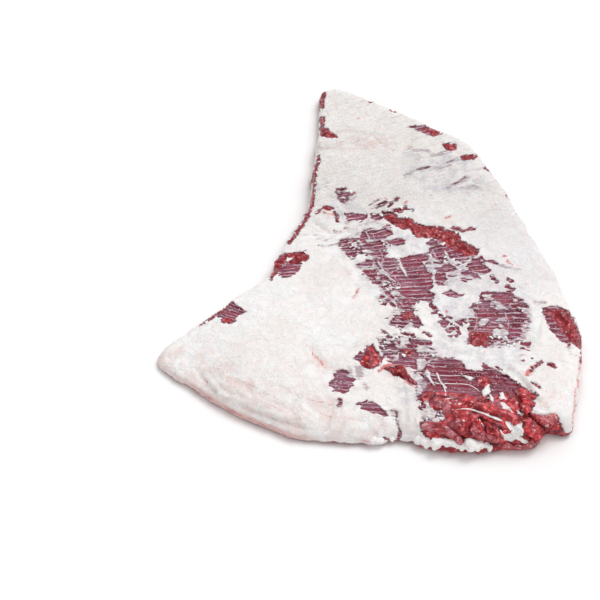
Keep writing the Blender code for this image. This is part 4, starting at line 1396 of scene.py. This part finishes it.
def lay_strand(name, find, points, half_width, end_width, pattern):
    """A strand that follows pixels of the photograph over the slab, tapered at its ends."""
    pixels = [between(start, end, share) for start, end in zip(points, points[1:])
              for share in np.arange(0, 1, 0.25)]
    spots = [spot for spot in (find(*pixel) for pixel in [*pixels, points[-1]]) if spot]
    heights = np.array([spot.z for spot in spots])
    steady = np.convolve(np.pad(heights, 2, mode="edge"), np.ones(5) / 5, "valid")
    curve = bpy.data.curves.new(name, "CURVE")
    curve.dimensions = "3D"
    curve.bevel_depth = 1.0
    curve.bevel_resolution = 3
    curve.use_fill_caps = True
    line = curve.splines.new("POLY")
    line.points.add(len(spots) - 1)
    for index, (spot, height) in enumerate(zip(spots, steady)):
        share = index / (len(spots) - 1)
        width = half_width + (end_width - half_width) * share
        width *= min(1, 0.25 + 4 * share, 0.35 + 6 * (1 - share))
        line.points[index].co = (spot.x, spot.y, height + STRAND_RISE * MM, 1)
        line.points[index].radius = width * MM
    strand = bpy.data.objects.new(name, curve)
    bpy.context.scene.collection.objects.link(strand)
    pick_only(strand)
    bpy.ops.object.convert(target="MESH")
    strand = bpy.context.active_object
    apply_modifier(strand, "SUBSURF", levels=2, render_levels=2)
    moved = roughened(strand, (0.28 * half_width, 1.2 * half_width + 1.5, 3), pattern)
    middle = np.interp(moved[:, 0], *zip(*sorted((s.x, h) for s, h in zip(spots, steady))))
    moved[:, 2] = middle + (moved[:, 2] - middle) * STRAND_FLAT
    put_vertices(strand, moved)
    return strand


def make_tendons(find):
    strands = [lay_strand(name, find, points, start, end, index)
               for index, (name, (start, end, points)) in enumerate(TENDONS.items())]
    return join_pieces(strands, "tendons")


def along_line(points, share):
    """The pixel at a share of the way along a line of points."""
    points = flatten(points)
    lengths = np.concatenate([[0], np.cumsum(np.linalg.norm(np.diff(points, axis=0), axis=1))])
    spot = share * lengths[-1]
    return (np.interp(spot, lengths, points[:, 0]),
            np.interp(spot, lengths, points[:, 1]) * SQUEEZE)


def lay_flap(name, find, height, root, free, pattern):
    """A torn flap of muscle: a ragged sheet arched from its root to its free edge."""
    columns, rows = FLAP_SQUARES
    bpy.ops.mesh.primitive_grid_add(x_subdivisions=columns, y_subdivisions=rows, size=1)
    flap = bpy.context.active_object
    flap.name = name
    grid = vertex_places(flap)
    moved = np.empty_like(grid)
    for index, (x, y, _) in enumerate(grid):
        along, across = x + 0.5, y + 0.5
        taper = math.sin(math.pi * min(max(along, 0.04), 0.96)) ** 0.35
        start, end = along_line(root, along), along_line(free, along)
        ragged = 0.12 * math.sin(37 * along + pattern) + 0.07 * math.sin(83 * along)
        spot = find(*between(start, end, across * taper * (1 + ragged))) or find(*start)
        arch = height * taper * math.sin(math.pi * (0.12 + 0.80 * across)) ** 0.8
        moved[index] = (spot.x, spot.y, spot.z + (arch - 0.5) * MM)
    for _ in range(3):                              # what it lies on is rough; it is not
        levels = moved[:, 2].reshape(rows + 1, columns + 1)
        padded = np.pad(levels, 1, mode="edge")
        around = padded[:-2, 1:-1] + padded[2:, 1:-1] + padded[1:-1, :-2] + padded[1:-1, 2:]
        moved[:, 2] = (0.4 * levels + 0.15 * around).ravel()
    wave = unevenness(moved / MM, FLAP_FOLDS, pattern) + unevenness(moved / MM, FLAP_SWELLS, 3)
    moved[:, 2] += wave * MM
    put_vertices(flap, moved)
    apply_modifier(flap, "SOLIDIFY", thickness=FLAP_THICKNESS * MM, offset=-1)
    apply_modifier(flap, "SUBSURF", levels=1, render_levels=1)
    return flap


def make_flaps(find):
    flaps = [lay_flap(name, find, height, root, free, 50 + index)
             for index, (name, (height, root, free)) in enumerate(FLAPS.items())]
    return join_pieces(flaps, "torn_folds")


def model_flake():
    """One thin curled bit of torn fat, 1 long and 1 wide, from its root at y = 0."""
    bpy.ops.mesh.primitive_grid_add(x_subdivisions=4, y_subdivisions=5, size=1)
    flake = bpy.context.active_object
    flake.name = "flake"
    spots = vertex_places(flake)
    share = spots[:, 1] + 0.5
    spots[:, 0] *= 1 - 0.72 * share ** 1.4
    spots[:, 1] = share
    spots[:, 2] = 0.30 * np.sin(math.pi * share * 0.9) - 0.10 * (2 * spots[:, 0]) ** 2
    put_vertices(flake, spots)
    apply_modifier(flake, "SOLIDIFY", thickness=0.11, offset=0)
    apply_modifier(flake, "SUBSURF", levels=1, render_levels=1)
    return flake


def flake_roots(dice, places, normals, field):
    """Which vertices of the slab carry a flake: a scatter along the edges of the gaps."""
    border = (np.abs(field["lean"] + 0.5) < 0.45) & (places[:, 2] > CAP_LOW)
    border &= (field["wall"] < -2) & (normals[:, 2] > 0.6)
    chosen = []
    for index in dice.permutation(np.flatnonzero(border)):
        if len(chosen) == FLAKES:
            break
        if all(np.linalg.norm(places[index] - places[other]) > FLAKE_SPREAD * MM
               for other in chosen):
            chosen.append(index)
    return chosen


def way_in(index, places, lean):
    """The level direction in which the lean deepens fastest from a vertex of the slab."""
    near = np.flatnonzero(np.linalg.norm(places - places[index], axis=1) < 2.5 * MM)
    ahead = ((places[near] - places[index]) * (lean[near] - lean[index])[:, None]).sum(axis=0)
    ahead[2] = 0
    return ahead / (np.linalg.norm(ahead) + TINY)


def make_flakes(places, normals, field):
    """Bits of torn fat that stand along the edges of the gaps and lean over them."""
    dice = np.random.default_rng(12)
    chosen = flake_roots(dice, places, normals, field)
    model = model_flake()
    shape = vertex_places(model)
    flakes = []
    for number, index in enumerate(chosen):
        ahead = way_in(index, places, field["lean"])
        turn = dice.normal(0, 0.5)
        ahead = np.array([ahead[0] * math.cos(turn) - ahead[1] * math.sin(turn),
                          ahead[0] * math.sin(turn) + ahead[1] * math.cos(turn), 0])
        side = np.array([ahead[1], -ahead[0], 0])
        length = dice.uniform(*FLAKE_LENGTH) * MM
        width = length * dice.uniform(0.4, 1.0)
        rise = length * dice.uniform(0.1, 0.7)
        start = places[index] - 0.35 * length * ahead + (0, 0, -0.25 * MM)
        rough = unevenness(shape * 1.6 + number * 7.3, FLAKE_CRUMPLE, 60)
        bent = shape + rough[:, None] * (0.8, 0.3, 0.6)
        spots = start + bent[:, :1] * width * side + bent[:, 1:2] * length * ahead
        spots[:, 2] += bent[:, 2] * rise
        flake = model.copy()
        flake.data = model.data.copy()
        bpy.context.scene.collection.objects.link(flake)
        put_vertices(flake, spots)
        flakes.append(flake)
    bpy.data.objects.remove(model)
    return join_pieces(flakes, "fat_flakes")


# ---- Materials --------------------------------------------------------------------------

class Wire:
    """A value in a material: sums on it add the Math nodes that work them out."""

    def __init__(self, finish, socket):
        self.finish = finish
        self.socket = socket

    def maths(self, operation, *terms):
        return self.finish.node("ShaderNodeMath", {"operation": operation}, dict(enumerate(terms)))

    def __add__(self, other):
        return self.maths("ADD", self, other)

    def __radd__(self, other):
        return self.maths("ADD", other, self)

    def __sub__(self, other):
        return self.maths("SUBTRACT", self, other)

    def __rsub__(self, other):
        return self.maths("SUBTRACT", other, self)

    def __mul__(self, other):
        return self.maths("MULTIPLY", self, other)

    def __rmul__(self, other):
        return self.maths("MULTIPLY", other, self)

    def __abs__(self):
        return self.maths("ABSOLUTE", self)

    def past_whole(self):
        """How far the value lies above its last whole number."""
        return self.maths("FRACT", self)


class Finish:
    """One material and the nodes that make it."""

    def __init__(self, name):
        self.material = bpy.data.materials.new(name)
        self.material.use_nodes = True
        self.tree = self.material.node_tree
        self.shader = self.tree.nodes["Principled BSDF"]
        self.place = self.node("ShaderNodeTexCoord", {}, {}, "Object")

    def node(self, kind, settings, values, output=0):
        node = self.tree.nodes.new(kind)
        for key, value in settings.items():
            setattr(node, key, value)
        for key, value in values.items():
            self.give(node.inputs[key], value)
        return Wire(self, node.outputs[output])

    def give(self, socket, value):
        if isinstance(value, Wire):
            self.tree.links.new(value.socket, socket)
        else:
            socket.default_value = value

    def wear(self, **sockets):
        """Set sockets of the shader itself."""
        for key, value in sockets.items():
            self.give(self.shader.inputs[key.replace("_", " ")], value)

    def field(self, name):
        return self.node("ShaderNodeAttribute", {"attribute_name": name}, {}, "Fac")

    def rise(self, value, low, high):
        """0 where the value is below low, 1 above high, smooth between."""
        settings = {"interpolation_type": "SMOOTHSTEP"}
        return self.node("ShaderNodeMapRange", settings, {0: value, 1: low, 2: high})

    def along_seam(self, value, middle, width):
        """1 where the value crosses the middle, fading to 0 a width to either side."""
        return 1 - self.rise(abs(value - middle), 0.0, width)

    def blend(self, below, above, share):
        """Two colours mixed: below where the share is 0, above where it is 1."""
        return self.node("ShaderNodeMix", {"data_type": "RGBA"}, {0: share, 6: below, 7: above}, 2)

    def tint(self, colour, name, share):
        """A colour with a named one laid over it."""
        return self.blend(colour, tone(name), share)

    def across(self, axis):
        """How far along x, y or z a place lies, in metres."""
        return self.node("ShaderNodeSeparateXYZ", {}, {0: self.place}, axis)

    def zone(self, name):
        """1 within a named part of the slab, 0 outside it."""
        return math.prod(self.rise(self.across(axis), low, high) for axis, low, high in ZONES[name])

    def noise_at(self, where, scale, detail, rough):
        """Even noise about 0.5, read at given places."""
        values = {"Vector": where, "Scale": scale, "Detail": detail, "Roughness": rough}
        return self.node("ShaderNodeTexNoise", {}, values)

    def noise(self, size, detail=2.0, rough=0.5):
        """Even noise whose bumps are size mm across."""
        return self.noise_at(self.place, 1 / (size * MM), detail, rough)

    def grain(self, bumps, detail=3.0, rough=0.5):
        """Noise drawn out into a grain: its bumps a metre along x, y and z."""
        where = self.node("ShaderNodeMapping", {}, {0: self.place, 3: bumps})
        return self.noise_at(where, 1.0, detail, rough)

    def combed(self, length, pitch, shift, detail=3.0, rough=0.6):
        """Noise drawn out along the fibre bundles: length in mm, pitch in streaks a bundle."""
        where = self.node("ShaderNodeCombineXYZ", {}, {
            0: self.across(X) * (1 / (length * MM)), 1: self.field("bundle") * pitch, 2: shift})
        return self.noise_at(where, 1.0, detail, rough)

    def lumps(self, size):
        """Rounded lumps size mm across: 0 in their middles and about 0.7 between them."""
        broad = size * MM
        drift = self.node("ShaderNodeTexNoise", {}, {"Vector": self.place, "Scale": 0.7 / broad}, 1)
        moved = self.node("ShaderNodeVectorMath", {"operation": "MULTIPLY_ADD"}, {
            0: drift, 1: (broad, broad, broad), 2: self.place})
        values = {"Vector": moved, "Scale": 1 / broad, "Smoothness": 0.35}
        return self.node("ShaderNodeTexVoronoi", {"feature": "SMOOTH_F1"}, values)

    def bump(self, height, depth):
        """A bump whose height runs from 0 to 1 for a depth in mm."""
        return self.node("ShaderNodeBump", {}, {
            "Height": height, "Distance": depth * MM, "Strength": 1.0})

    def soften(self, depth, share):
        """Light that sinks into the flesh, to a depth in mm: the same all over."""
        self.wear(Subsurface_Weight=share, Subsurface_Radius=FLESH_SCATTER,
                  Subsurface_Scale=depth * MM, IOR=FLESH_IOR)


def fat_colour(finish):
    """White fat with cream and pinkish drifts, greyed over the middle of its right side as painted
    shade.
    """
    drift = finish.rise(finish.noise(38.0), 0.35, 0.7)
    colour = finish.tint(tone("fat white"), "fat cream", drift * 0.75)
    colour = finish.tint(colour, "fat far", finish.zone("far fat") * 0.95)
    # a grey painted shade over the middle of the right side
    colour = finish.tint(colour, "fat thin and shade grey", finish.zone("fat in painted shade") * 0.5)
    mottle = finish.rise(finish.noise(5.5, 3.0), 0.45, 0.75)
    return finish.tint(colour, "fat mottle and crease shade", mottle * 0.14)


def cap_fat(finish, lean_depth, lined, fine, coarse):
    """The fat cap: torn at one corner, thin and cool near the lean, lined further up, and painted
    darker as painted shade along its edges at the lean and in its creases.
    """
    torn = finish.rise(finish.field("torn"), -1.0, 2.0)
    patchy = finish.rise(finish.noise(9.0, 4.0, 0.6), 0.42, 0.60)
    film = finish.rise(finish.field("film") + coarse * 8.0, -4.0, 4.0)
    thin = finish.rise(lean_depth + coarse * 3.0, -2.2, -0.3)
    rim = finish.rise(lean_depth + fine * 1.6 + coarse * 0.8, -0.85, -0.15)
    veins = finish.along_seam(finish.noise(8.0, 4.0, 0.62), 0.5, 0.016)
    threads = finish.along_seam(finish.noise(5.0, 4.0, 0.62), 0.52, 0.012)
    blush = finish.field("blush") * finish.rise(finish.noise(7.0, 3.0), 0.3, 0.7)
    crease = finish.rise(finish.field("crease") + fine * 2.0, -1.6, 0.8)

    fat = finish.tint(fat_colour(finish), "torn fat", torn * (1 - patchy * 0.6))
    fat = finish.tint(fat, "fat thin and shade grey", film * (0.15 + 0.75 * patchy))
    fat = finish.tint(fat, "fat thin and shade grey", thin * patchy * 0.5)
    # the fat's edge at the lean: a tint of the lean beneath and painted shade along the step down
    fat = finish.tint(fat, "gap rim lean tint and shade", rim * (1 - torn * 0.5) * 0.8)
    fat = finish.tint(fat, "fat mottle and crease shade", veins * (0.2 + 0.2 * lined))
    fat = finish.tint(fat, "veil purple", threads * (0.06 + 0.34 * film * patchy))
    fat = finish.tint(fat, "blush", finish.rise(blush, 0.0, 1.1) * 0.7)
    # the pressed creases painted darker: painted shade
    return finish.tint(fat, "fat mottle and crease shade", crease * 0.35)


def stained_fat(finish, fat, fine, coarse):
    """The fat with what shows through it and what stains it, and its pinkish cut strip."""
    streak = finish.combed(9.0, 2.8, 8.8) - 0.5
    veil = finish.rise(finish.field("veil") + coarse * 4.0 + streak * 14.0, -1.2, 3.2)
    dark_veil = finish.rise(finish.field("dark_veil") + fine * 2.5 + streak * 4.0, -1.3, 0.9)
    blood = finish.rise(finish.field("blood") + coarse * 2.5 + fine * 3.0, -0.9, 0.9)
    specks = finish.rise(finish.noise(3.4), 0.735, 0.79)
    fat = finish.tint(fat, "veil purple", veil * 0.62)
    fat = finish.tint(fat, "veil dark", dark_veil * 0.9)
    fat = finish.tint(fat, "blood", blood * 0.8)
    fat = finish.tint(fat, "blood", specks * 0.35)

    cut_lines = finish.rise(finish.grain(STRIP_GRAIN, 3.0, 0.6), 0.46, 0.64)
    cut = finish.tint(tone("cut pink"), "cut red", cut_lines * 0.9)
    return finish.blend(fat, cut, finish.field("strip") * 0.9)


def striped_lean(finish):
    """Lean under its silvery skin: dark bundles with pale lines and purple veils between.

    Gives its colour, its fine fibres and the pale lines.
    """
    phase = finish.field("bundle") + (finish.combed(11.0, 1.3, 0.0, 3.0, 0.55) - 0.5)
    beside = abs(phase.past_whole() - 0.5)          # 0 on the line between two bundles
    halfway = abs((phase * 2.0 + 0.3).past_whole() - 0.5)
    shown = finish.rise(finish.combed(15.0, 1.1, 3.7), 0.38, 0.54)
    redder = finish.rise(finish.combed(22.0, 0.6, 6.3, 2.0), 0.38, 0.62)
    fibrils = finish.combed(9.0, 6.0, 9.1)
    veil = finish.rise(finish.combed(18.0, 0.8, 1.9), 0.36, 0.56)
    veil = veil * (1 - finish.rise(beside, 0.08, 0.34))
    wash = finish.rise(finish.combed(26.0, 0.45, 12.7), 0.48, 0.66)
    torn = finish.rise(finish.field("torn"), -2.0, 4.0)
    line = (1 - finish.rise(beside, 0.03, 0.15)) * shown * (1 - torn * 0.8)
    thread = (1 - finish.rise(halfway, 0.03, 0.20)) * (1 - shown)
    dust = finish.rise(finish.noise(1.8), 0.64, 0.69)

    colour = finish.tint(tone("lean dark"), "lean red", redder)
    colour = finish.tint(colour, "lean purple", finish.rise(fibrils, 0.46, 0.70) * 0.45)
    colour = finish.tint(colour, "lean purple", veil * 0.85)
    colour = finish.tint(colour, "lean purple", wash * 0.55)
    colour = finish.tint(colour, "raw dark and lump shade", torn * 0.25)
    colour = finish.tint(colour, "lean purple", finish.zone("pale lean") * 0.3)
    colour = finish.tint(colour, "lilac line", line * 0.80)
    colour = finish.tint(colour, "lilac line", thread * 0.25)
    colour = finish.tint(colour, "fat thin and shade grey", dust * 0.75)
    return colour, fibrils, line


def raw_lean(finish, fine, coarse):
    """Open, wet muscle: grains of red with dark between them, brighter where it is torn. Its lumps
    carry painted highlights on top and painted shade between them, its cracks painted shade, and its
    wet patches painted glints.

    Gives its colour and the height of its lumps.
    """
    grains = finish.noise(4.6, 3.0, 0.55)
    clots = finish.noise(13.0, 3.0)
    lumps = finish.lumps(5.0)
    torn = finish.rise(finish.field("torn") + coarse * 6.0, -1.0, 3.0)
    clings = finish.rise(finish.field("membrane") + fine * 3.0 + coarse * 4.0, -0.8, 1.4)
    fibres = finish.rise(finish.combed(7.0, 3.6, 2.2), 0.55, 0.68)
    skinned = finish.rise(finish.noise(10.0, 4.0, 0.6), 0.52, 0.64)
    pit = finish.rise(finish.field("pit") + coarse * 3.0, -1.4, 0.8)
    wet = finish.rise(finish.noise(11.0), 0.44, 0.58) * (1 - pit)
    # where painted glints go: small streaks along the bundles
    glints = finish.rise(finish.combed(4.2, 2.0, 14.0, 1.0), 0.63, 0.68)

    red = finish.tint(tone("raw red"), "torn bright", torn * finish.rise(clots, 0.36, 0.56))
    mixed = finish.rise(grains * 0.6 + clots * 0.4, 0.38, 0.52)
    flesh = finish.blend(tone("raw dark and lump shade"), red, mixed)
    flesh = finish.tint(flesh, "raw light and lump highlight", finish.rise(grains, 0.54, 0.70) * 0.6)
    flesh = finish.tint(flesh, "membrane", clings * 0.75)
    flesh = finish.tint(flesh, "membrane", fibres * torn * 0.35)
    flesh = finish.tint(flesh, "membrane", skinned * torn * 0.5)
    # lump tops painted lighter as painted highlight, the seams between the lumps darker as painted
    # shade
    flesh = finish.tint(flesh, "raw light and lump highlight", (1 - finish.rise(lumps, 0.10, 0.36)) * 0.55)
    flesh = finish.tint(flesh, "raw dark and lump shade", finish.rise(lumps, 0.42, 0.62) * 0.6)
    # the cracks painted dark: painted shade
    flesh = finish.tint(flesh, "raw crack shade", pit * 0.8)
    # glints painted into the colour on wet patches: painted highlights
    flesh = finish.tint(flesh, "painted glint", glints * wet * (0.5 + 0.4 * torn))
    return flesh, grains * 0.6 - lumps * 1.1


def near_front(finish):
    """1 on the crumpled fat along the smooth front edge."""
    forward = finish.across(Y) + finish.across(X) * FRONT_SLANT
    return finish.rise(forward, *FRONT_SETS_IN) * finish.zone("front")


def fat_bumps(finish, striae, lined, front):
    """The fat's height: its fine lines, less its wrinkles, with the ledges of torn sheets."""
    wrinkle = abs(finish.noise(4.5, 4.0, 0.55) - 0.5)
    crinkle = abs(finish.noise(1.8) - 0.5)
    crumple = abs(finish.noise(10.0, 4.0, 0.55) - 0.5)
    sheets = finish.noise(15.0, 5.0, 0.55)
    ledges = sum(finish.rise(sheets, level, level + SHEET_EDGE) for level in SHEET_LEVELS)
    wrinkles = (wrinkle * 1.5 + crinkle * 0.9) * (0.85 + 1.5 * lined) + crumple * front * 3.0
    return striae * (0.2 * finish.field("seen") + 1.5 * lined) - wrinkles + ledges * 0.35


def slab_finish():
    """Fat, striped lean and raw lean, each where its field says."""
    finish = Finish("marbled beef")
    fine = finish.noise(1.6) - 0.5
    coarse = finish.noise(4.0, 3.0) - 0.5
    lean_depth = finish.field("lean")
    lean = finish.rise(lean_depth + 0.10 + fine * 1.6 + coarse * 0.8, -0.25, 0.25)
    raw = finish.rise(finish.field("raw") + fine * 2.0 + coarse * 3.0, -0.9, 0.9)

    lined = finish.zone("lined fat") * finish.field("seen")
    striae = finish.combed(16.0, 3.4, 1.3, 4.0)
    fat = stained_fat(finish, cap_fat(finish, lean_depth, lined, fine, coarse), fine, coarse)
    fat = finish.tint(fat, "fat line", finish.rise(striae, 0.54, 0.66) * lined * 0.45)

    striped, fibrils, line = striped_lean(finish)
    flesh, lumps = raw_lean(finish, fine, coarse)
    thread = finish.rise(finish.field("thread") + fine * 3.0, -0.6, 0.5)
    meat = finish.tint(finish.blend(striped, flesh, raw), "lilac line", thread * 0.75)
    colour = finish.blend(fat, meat, lean)
    front = near_front(finish)
    flushed = front * finish.rise(finish.noise(14.0, 4.0, 0.6), 0.44, 0.62) * (1 - lean)
    colour = finish.tint(colour, "blush", flushed * 0.35)

    fat_rough = 0.44 + 0.14 * finish.noise(6.0, 3.0)
    meat_rough = 0.34 - 0.12 * raw
    fat_height = fat_bumps(finish, striae, lined, front)
    meat_height = fibrils * 0.35 - line * 0.2 + raw * (lumps * 1.5 + finish.noise(1.6) * 0.4)
    height = fat_height * (1 - lean) + meat_height * lean
    finish.wear(Base_Color=colour, Roughness=fat_rough * (1 - lean) + meat_rough * lean,
                Normal=finish.bump(height, 1.0), Coat_Weight=0.4 * raw * lean,
                Coat_Roughness=WET_COAT, Specular_IOR_Level=0.25)
    finish.soften(0.7, 0.25)
    return finish.material


def lump_finish():
    """Loose fat: white, with a pinkish grey laid in random patches as painted shade, and red stains."""
    finish = Finish("loose fat")
    painted_shade_patches = finish.rise(finish.noise(3.5, 3.0), 0.42, 0.7)
    blood = finish.rise(finish.noise(4.5), 0.62, 0.75)
    # pinkish grey in random patches as painted shade
    colour = finish.tint(tone("fat white"), "fat mottle and crease shade", painted_shade_patches * 0.5)
    colour = finish.tint(colour, "cut red", blood * 0.4)
    height = finish.noise(1.6, 4.0, 0.6)
    finish.wear(Base_Color=colour, Roughness=0.38 + 0.15 * height, Normal=finish.bump(height, 0.5))
    finish.soften(1.0, 0.3)
    return finish.material


def tendon_finish():
    """Tendon and torn membrane: bright white, glossy, pinkish here and there."""
    finish = Finish("tendon")
    pink = finish.rise(finish.noise(4.0, 3.0), 0.54, 0.72)
    colour = finish.tint(tone("torn fat"), "blush", pink * 0.7)
    height = finish.grain(TENDON_GRAIN)
    finish.wear(Base_Color=colour, Roughness=0.30 + 0.12 * height, Normal=finish.bump(height, 0.4))
    finish.soften(1.0, 0.3)
    return finish.material


def flake_finish():
    """Torn bits of fat: the white of the cap, cooler where they are thin."""
    finish = Finish("torn fat")
    cool = finish.rise(finish.noise(6.0, 3.0), 0.42, 0.66)
    colour = finish.tint(tone("fat white"), "fat thin and shade grey", cool * 0.6)
    height = finish.noise(1.4, 3.0)
    finish.wear(Base_Color=colour, Roughness=0.42 + 0.12 * height, Normal=finish.bump(height, 0.3))
    finish.soften(0.7, 0.3)
    return finish.material


def fold_finish():
    """Torn muscle: wet red with darker fibres, under a pale purplish membrane."""
    finish = Finish("torn muscle")
    fibres = finish.grain(FOLD_GRAIN, 4.0, 0.6)
    clots = finish.noise(8.0, 3.0)
    mixed = finish.rise(fibres * 0.5 + clots * 0.5, 0.34, 0.54)
    veiled = finish.rise(finish.noise(7.0, 3.0), 0.40, 0.60)
    pale = finish.rise(finish.noise(3.2, 3.0), 0.56, 0.68)
    colour = finish.tint(tone("raw dark and lump shade"), "raw red", mixed)
    colour = finish.tint(colour, "raw light and lump highlight", finish.rise(fibres, 0.5, 0.75) * 0.6)
    colour = finish.tint(colour, "membrane", veiled * (0.85 - 0.6 * finish.zone("red folds")))
    colour = finish.tint(colour, "blush", pale * 0.6)
    height = fibres * 0.7 + finish.noise(2.0, 3.0) * 0.5
    finish.wear(Base_Color=colour, Roughness=0.20 + 0.14 * clots, Normal=finish.bump(height, 0.8),
                Coat_Weight=0.6, Coat_Roughness=WET_COAT)
    finish.soften(0.7, 0.25)
    return finish.material


# ---- Floor, light and camera ------------------------------------------------------------

def add_floor():
    bpy.ops.mesh.primitive_plane_add(size=FLOOR_SIDE, location=(0, 0, 0))
    floor = bpy.context.active_object
    floor.name = "floor"
    finish = Finish("pale floor")
    finish.wear(Base_Color=FLOOR_PALE, Roughness=0.9, Specular_IOR_Level=0.0)
    floor.data.materials.append(finish.material)


def add_lamp(name, share, spread):
    data = bpy.data.lights.new(name, "SUN")
    data.energy = share * math.pi / math.sin(math.radians(KEY_HEIGHT))
    data.angle = math.radians(spread)
    lamp = bpy.data.objects.new(name, data)
    bpy.context.scene.collection.objects.link(lamp)
    lamp.rotation_euler = (math.radians(90 - KEY_HEIGHT), 0, math.radians(180 + KEY_AZIMUTH))


def light_the_scene():
    scene = bpy.context.scene
    scene.view_settings.view_transform = "Standard"
    world = bpy.data.worlds.new("studio")
    world.use_nodes = True
    sky = world.node_tree.nodes["Background"].inputs
    sky["Color"].default_value = (1, 1, 1, 1)
    sky["Strength"].default_value = SKY_LIGHT
    scene.world = world
    add_lamp("softbox", KEY_LIGHT, KEY_SPREAD)
    add_lamp("glint lamp", GLINT_LIGHT, GLINT_SPREAD)


def add_camera():
    data = bpy.data.cameras.new("camera")
    data.lens = LENS
    data.sensor_width = SENSOR
    camera = bpy.data.objects.new("camera", data)
    bpy.context.scene.collection.objects.link(camera)
    camera.location = camera_axes()[0]
    camera.rotation_euler = (math.radians(90 - CAMERA_TILT), 0, 0)
    bpy.context.scene.camera = camera


def main():
    slab, places, normals, field = make_slab()
    find = top_finder(slab)
    pieces = {
        slab: slab_finish(),
        make_edge_lumps(find): lump_finish(),
        make_tendons(find): tendon_finish(),
        make_flaps(find): fold_finish(),
        make_flakes(places, normals, field): flake_finish(),
    }
    for piece, material in pieces.items():
        piece.data.materials.clear()
        piece.data.materials.append(material)
        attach(piece, "root")
    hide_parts("beef_top_rib")
    add_floor()
    light_the_scene()
    add_camera()


main()
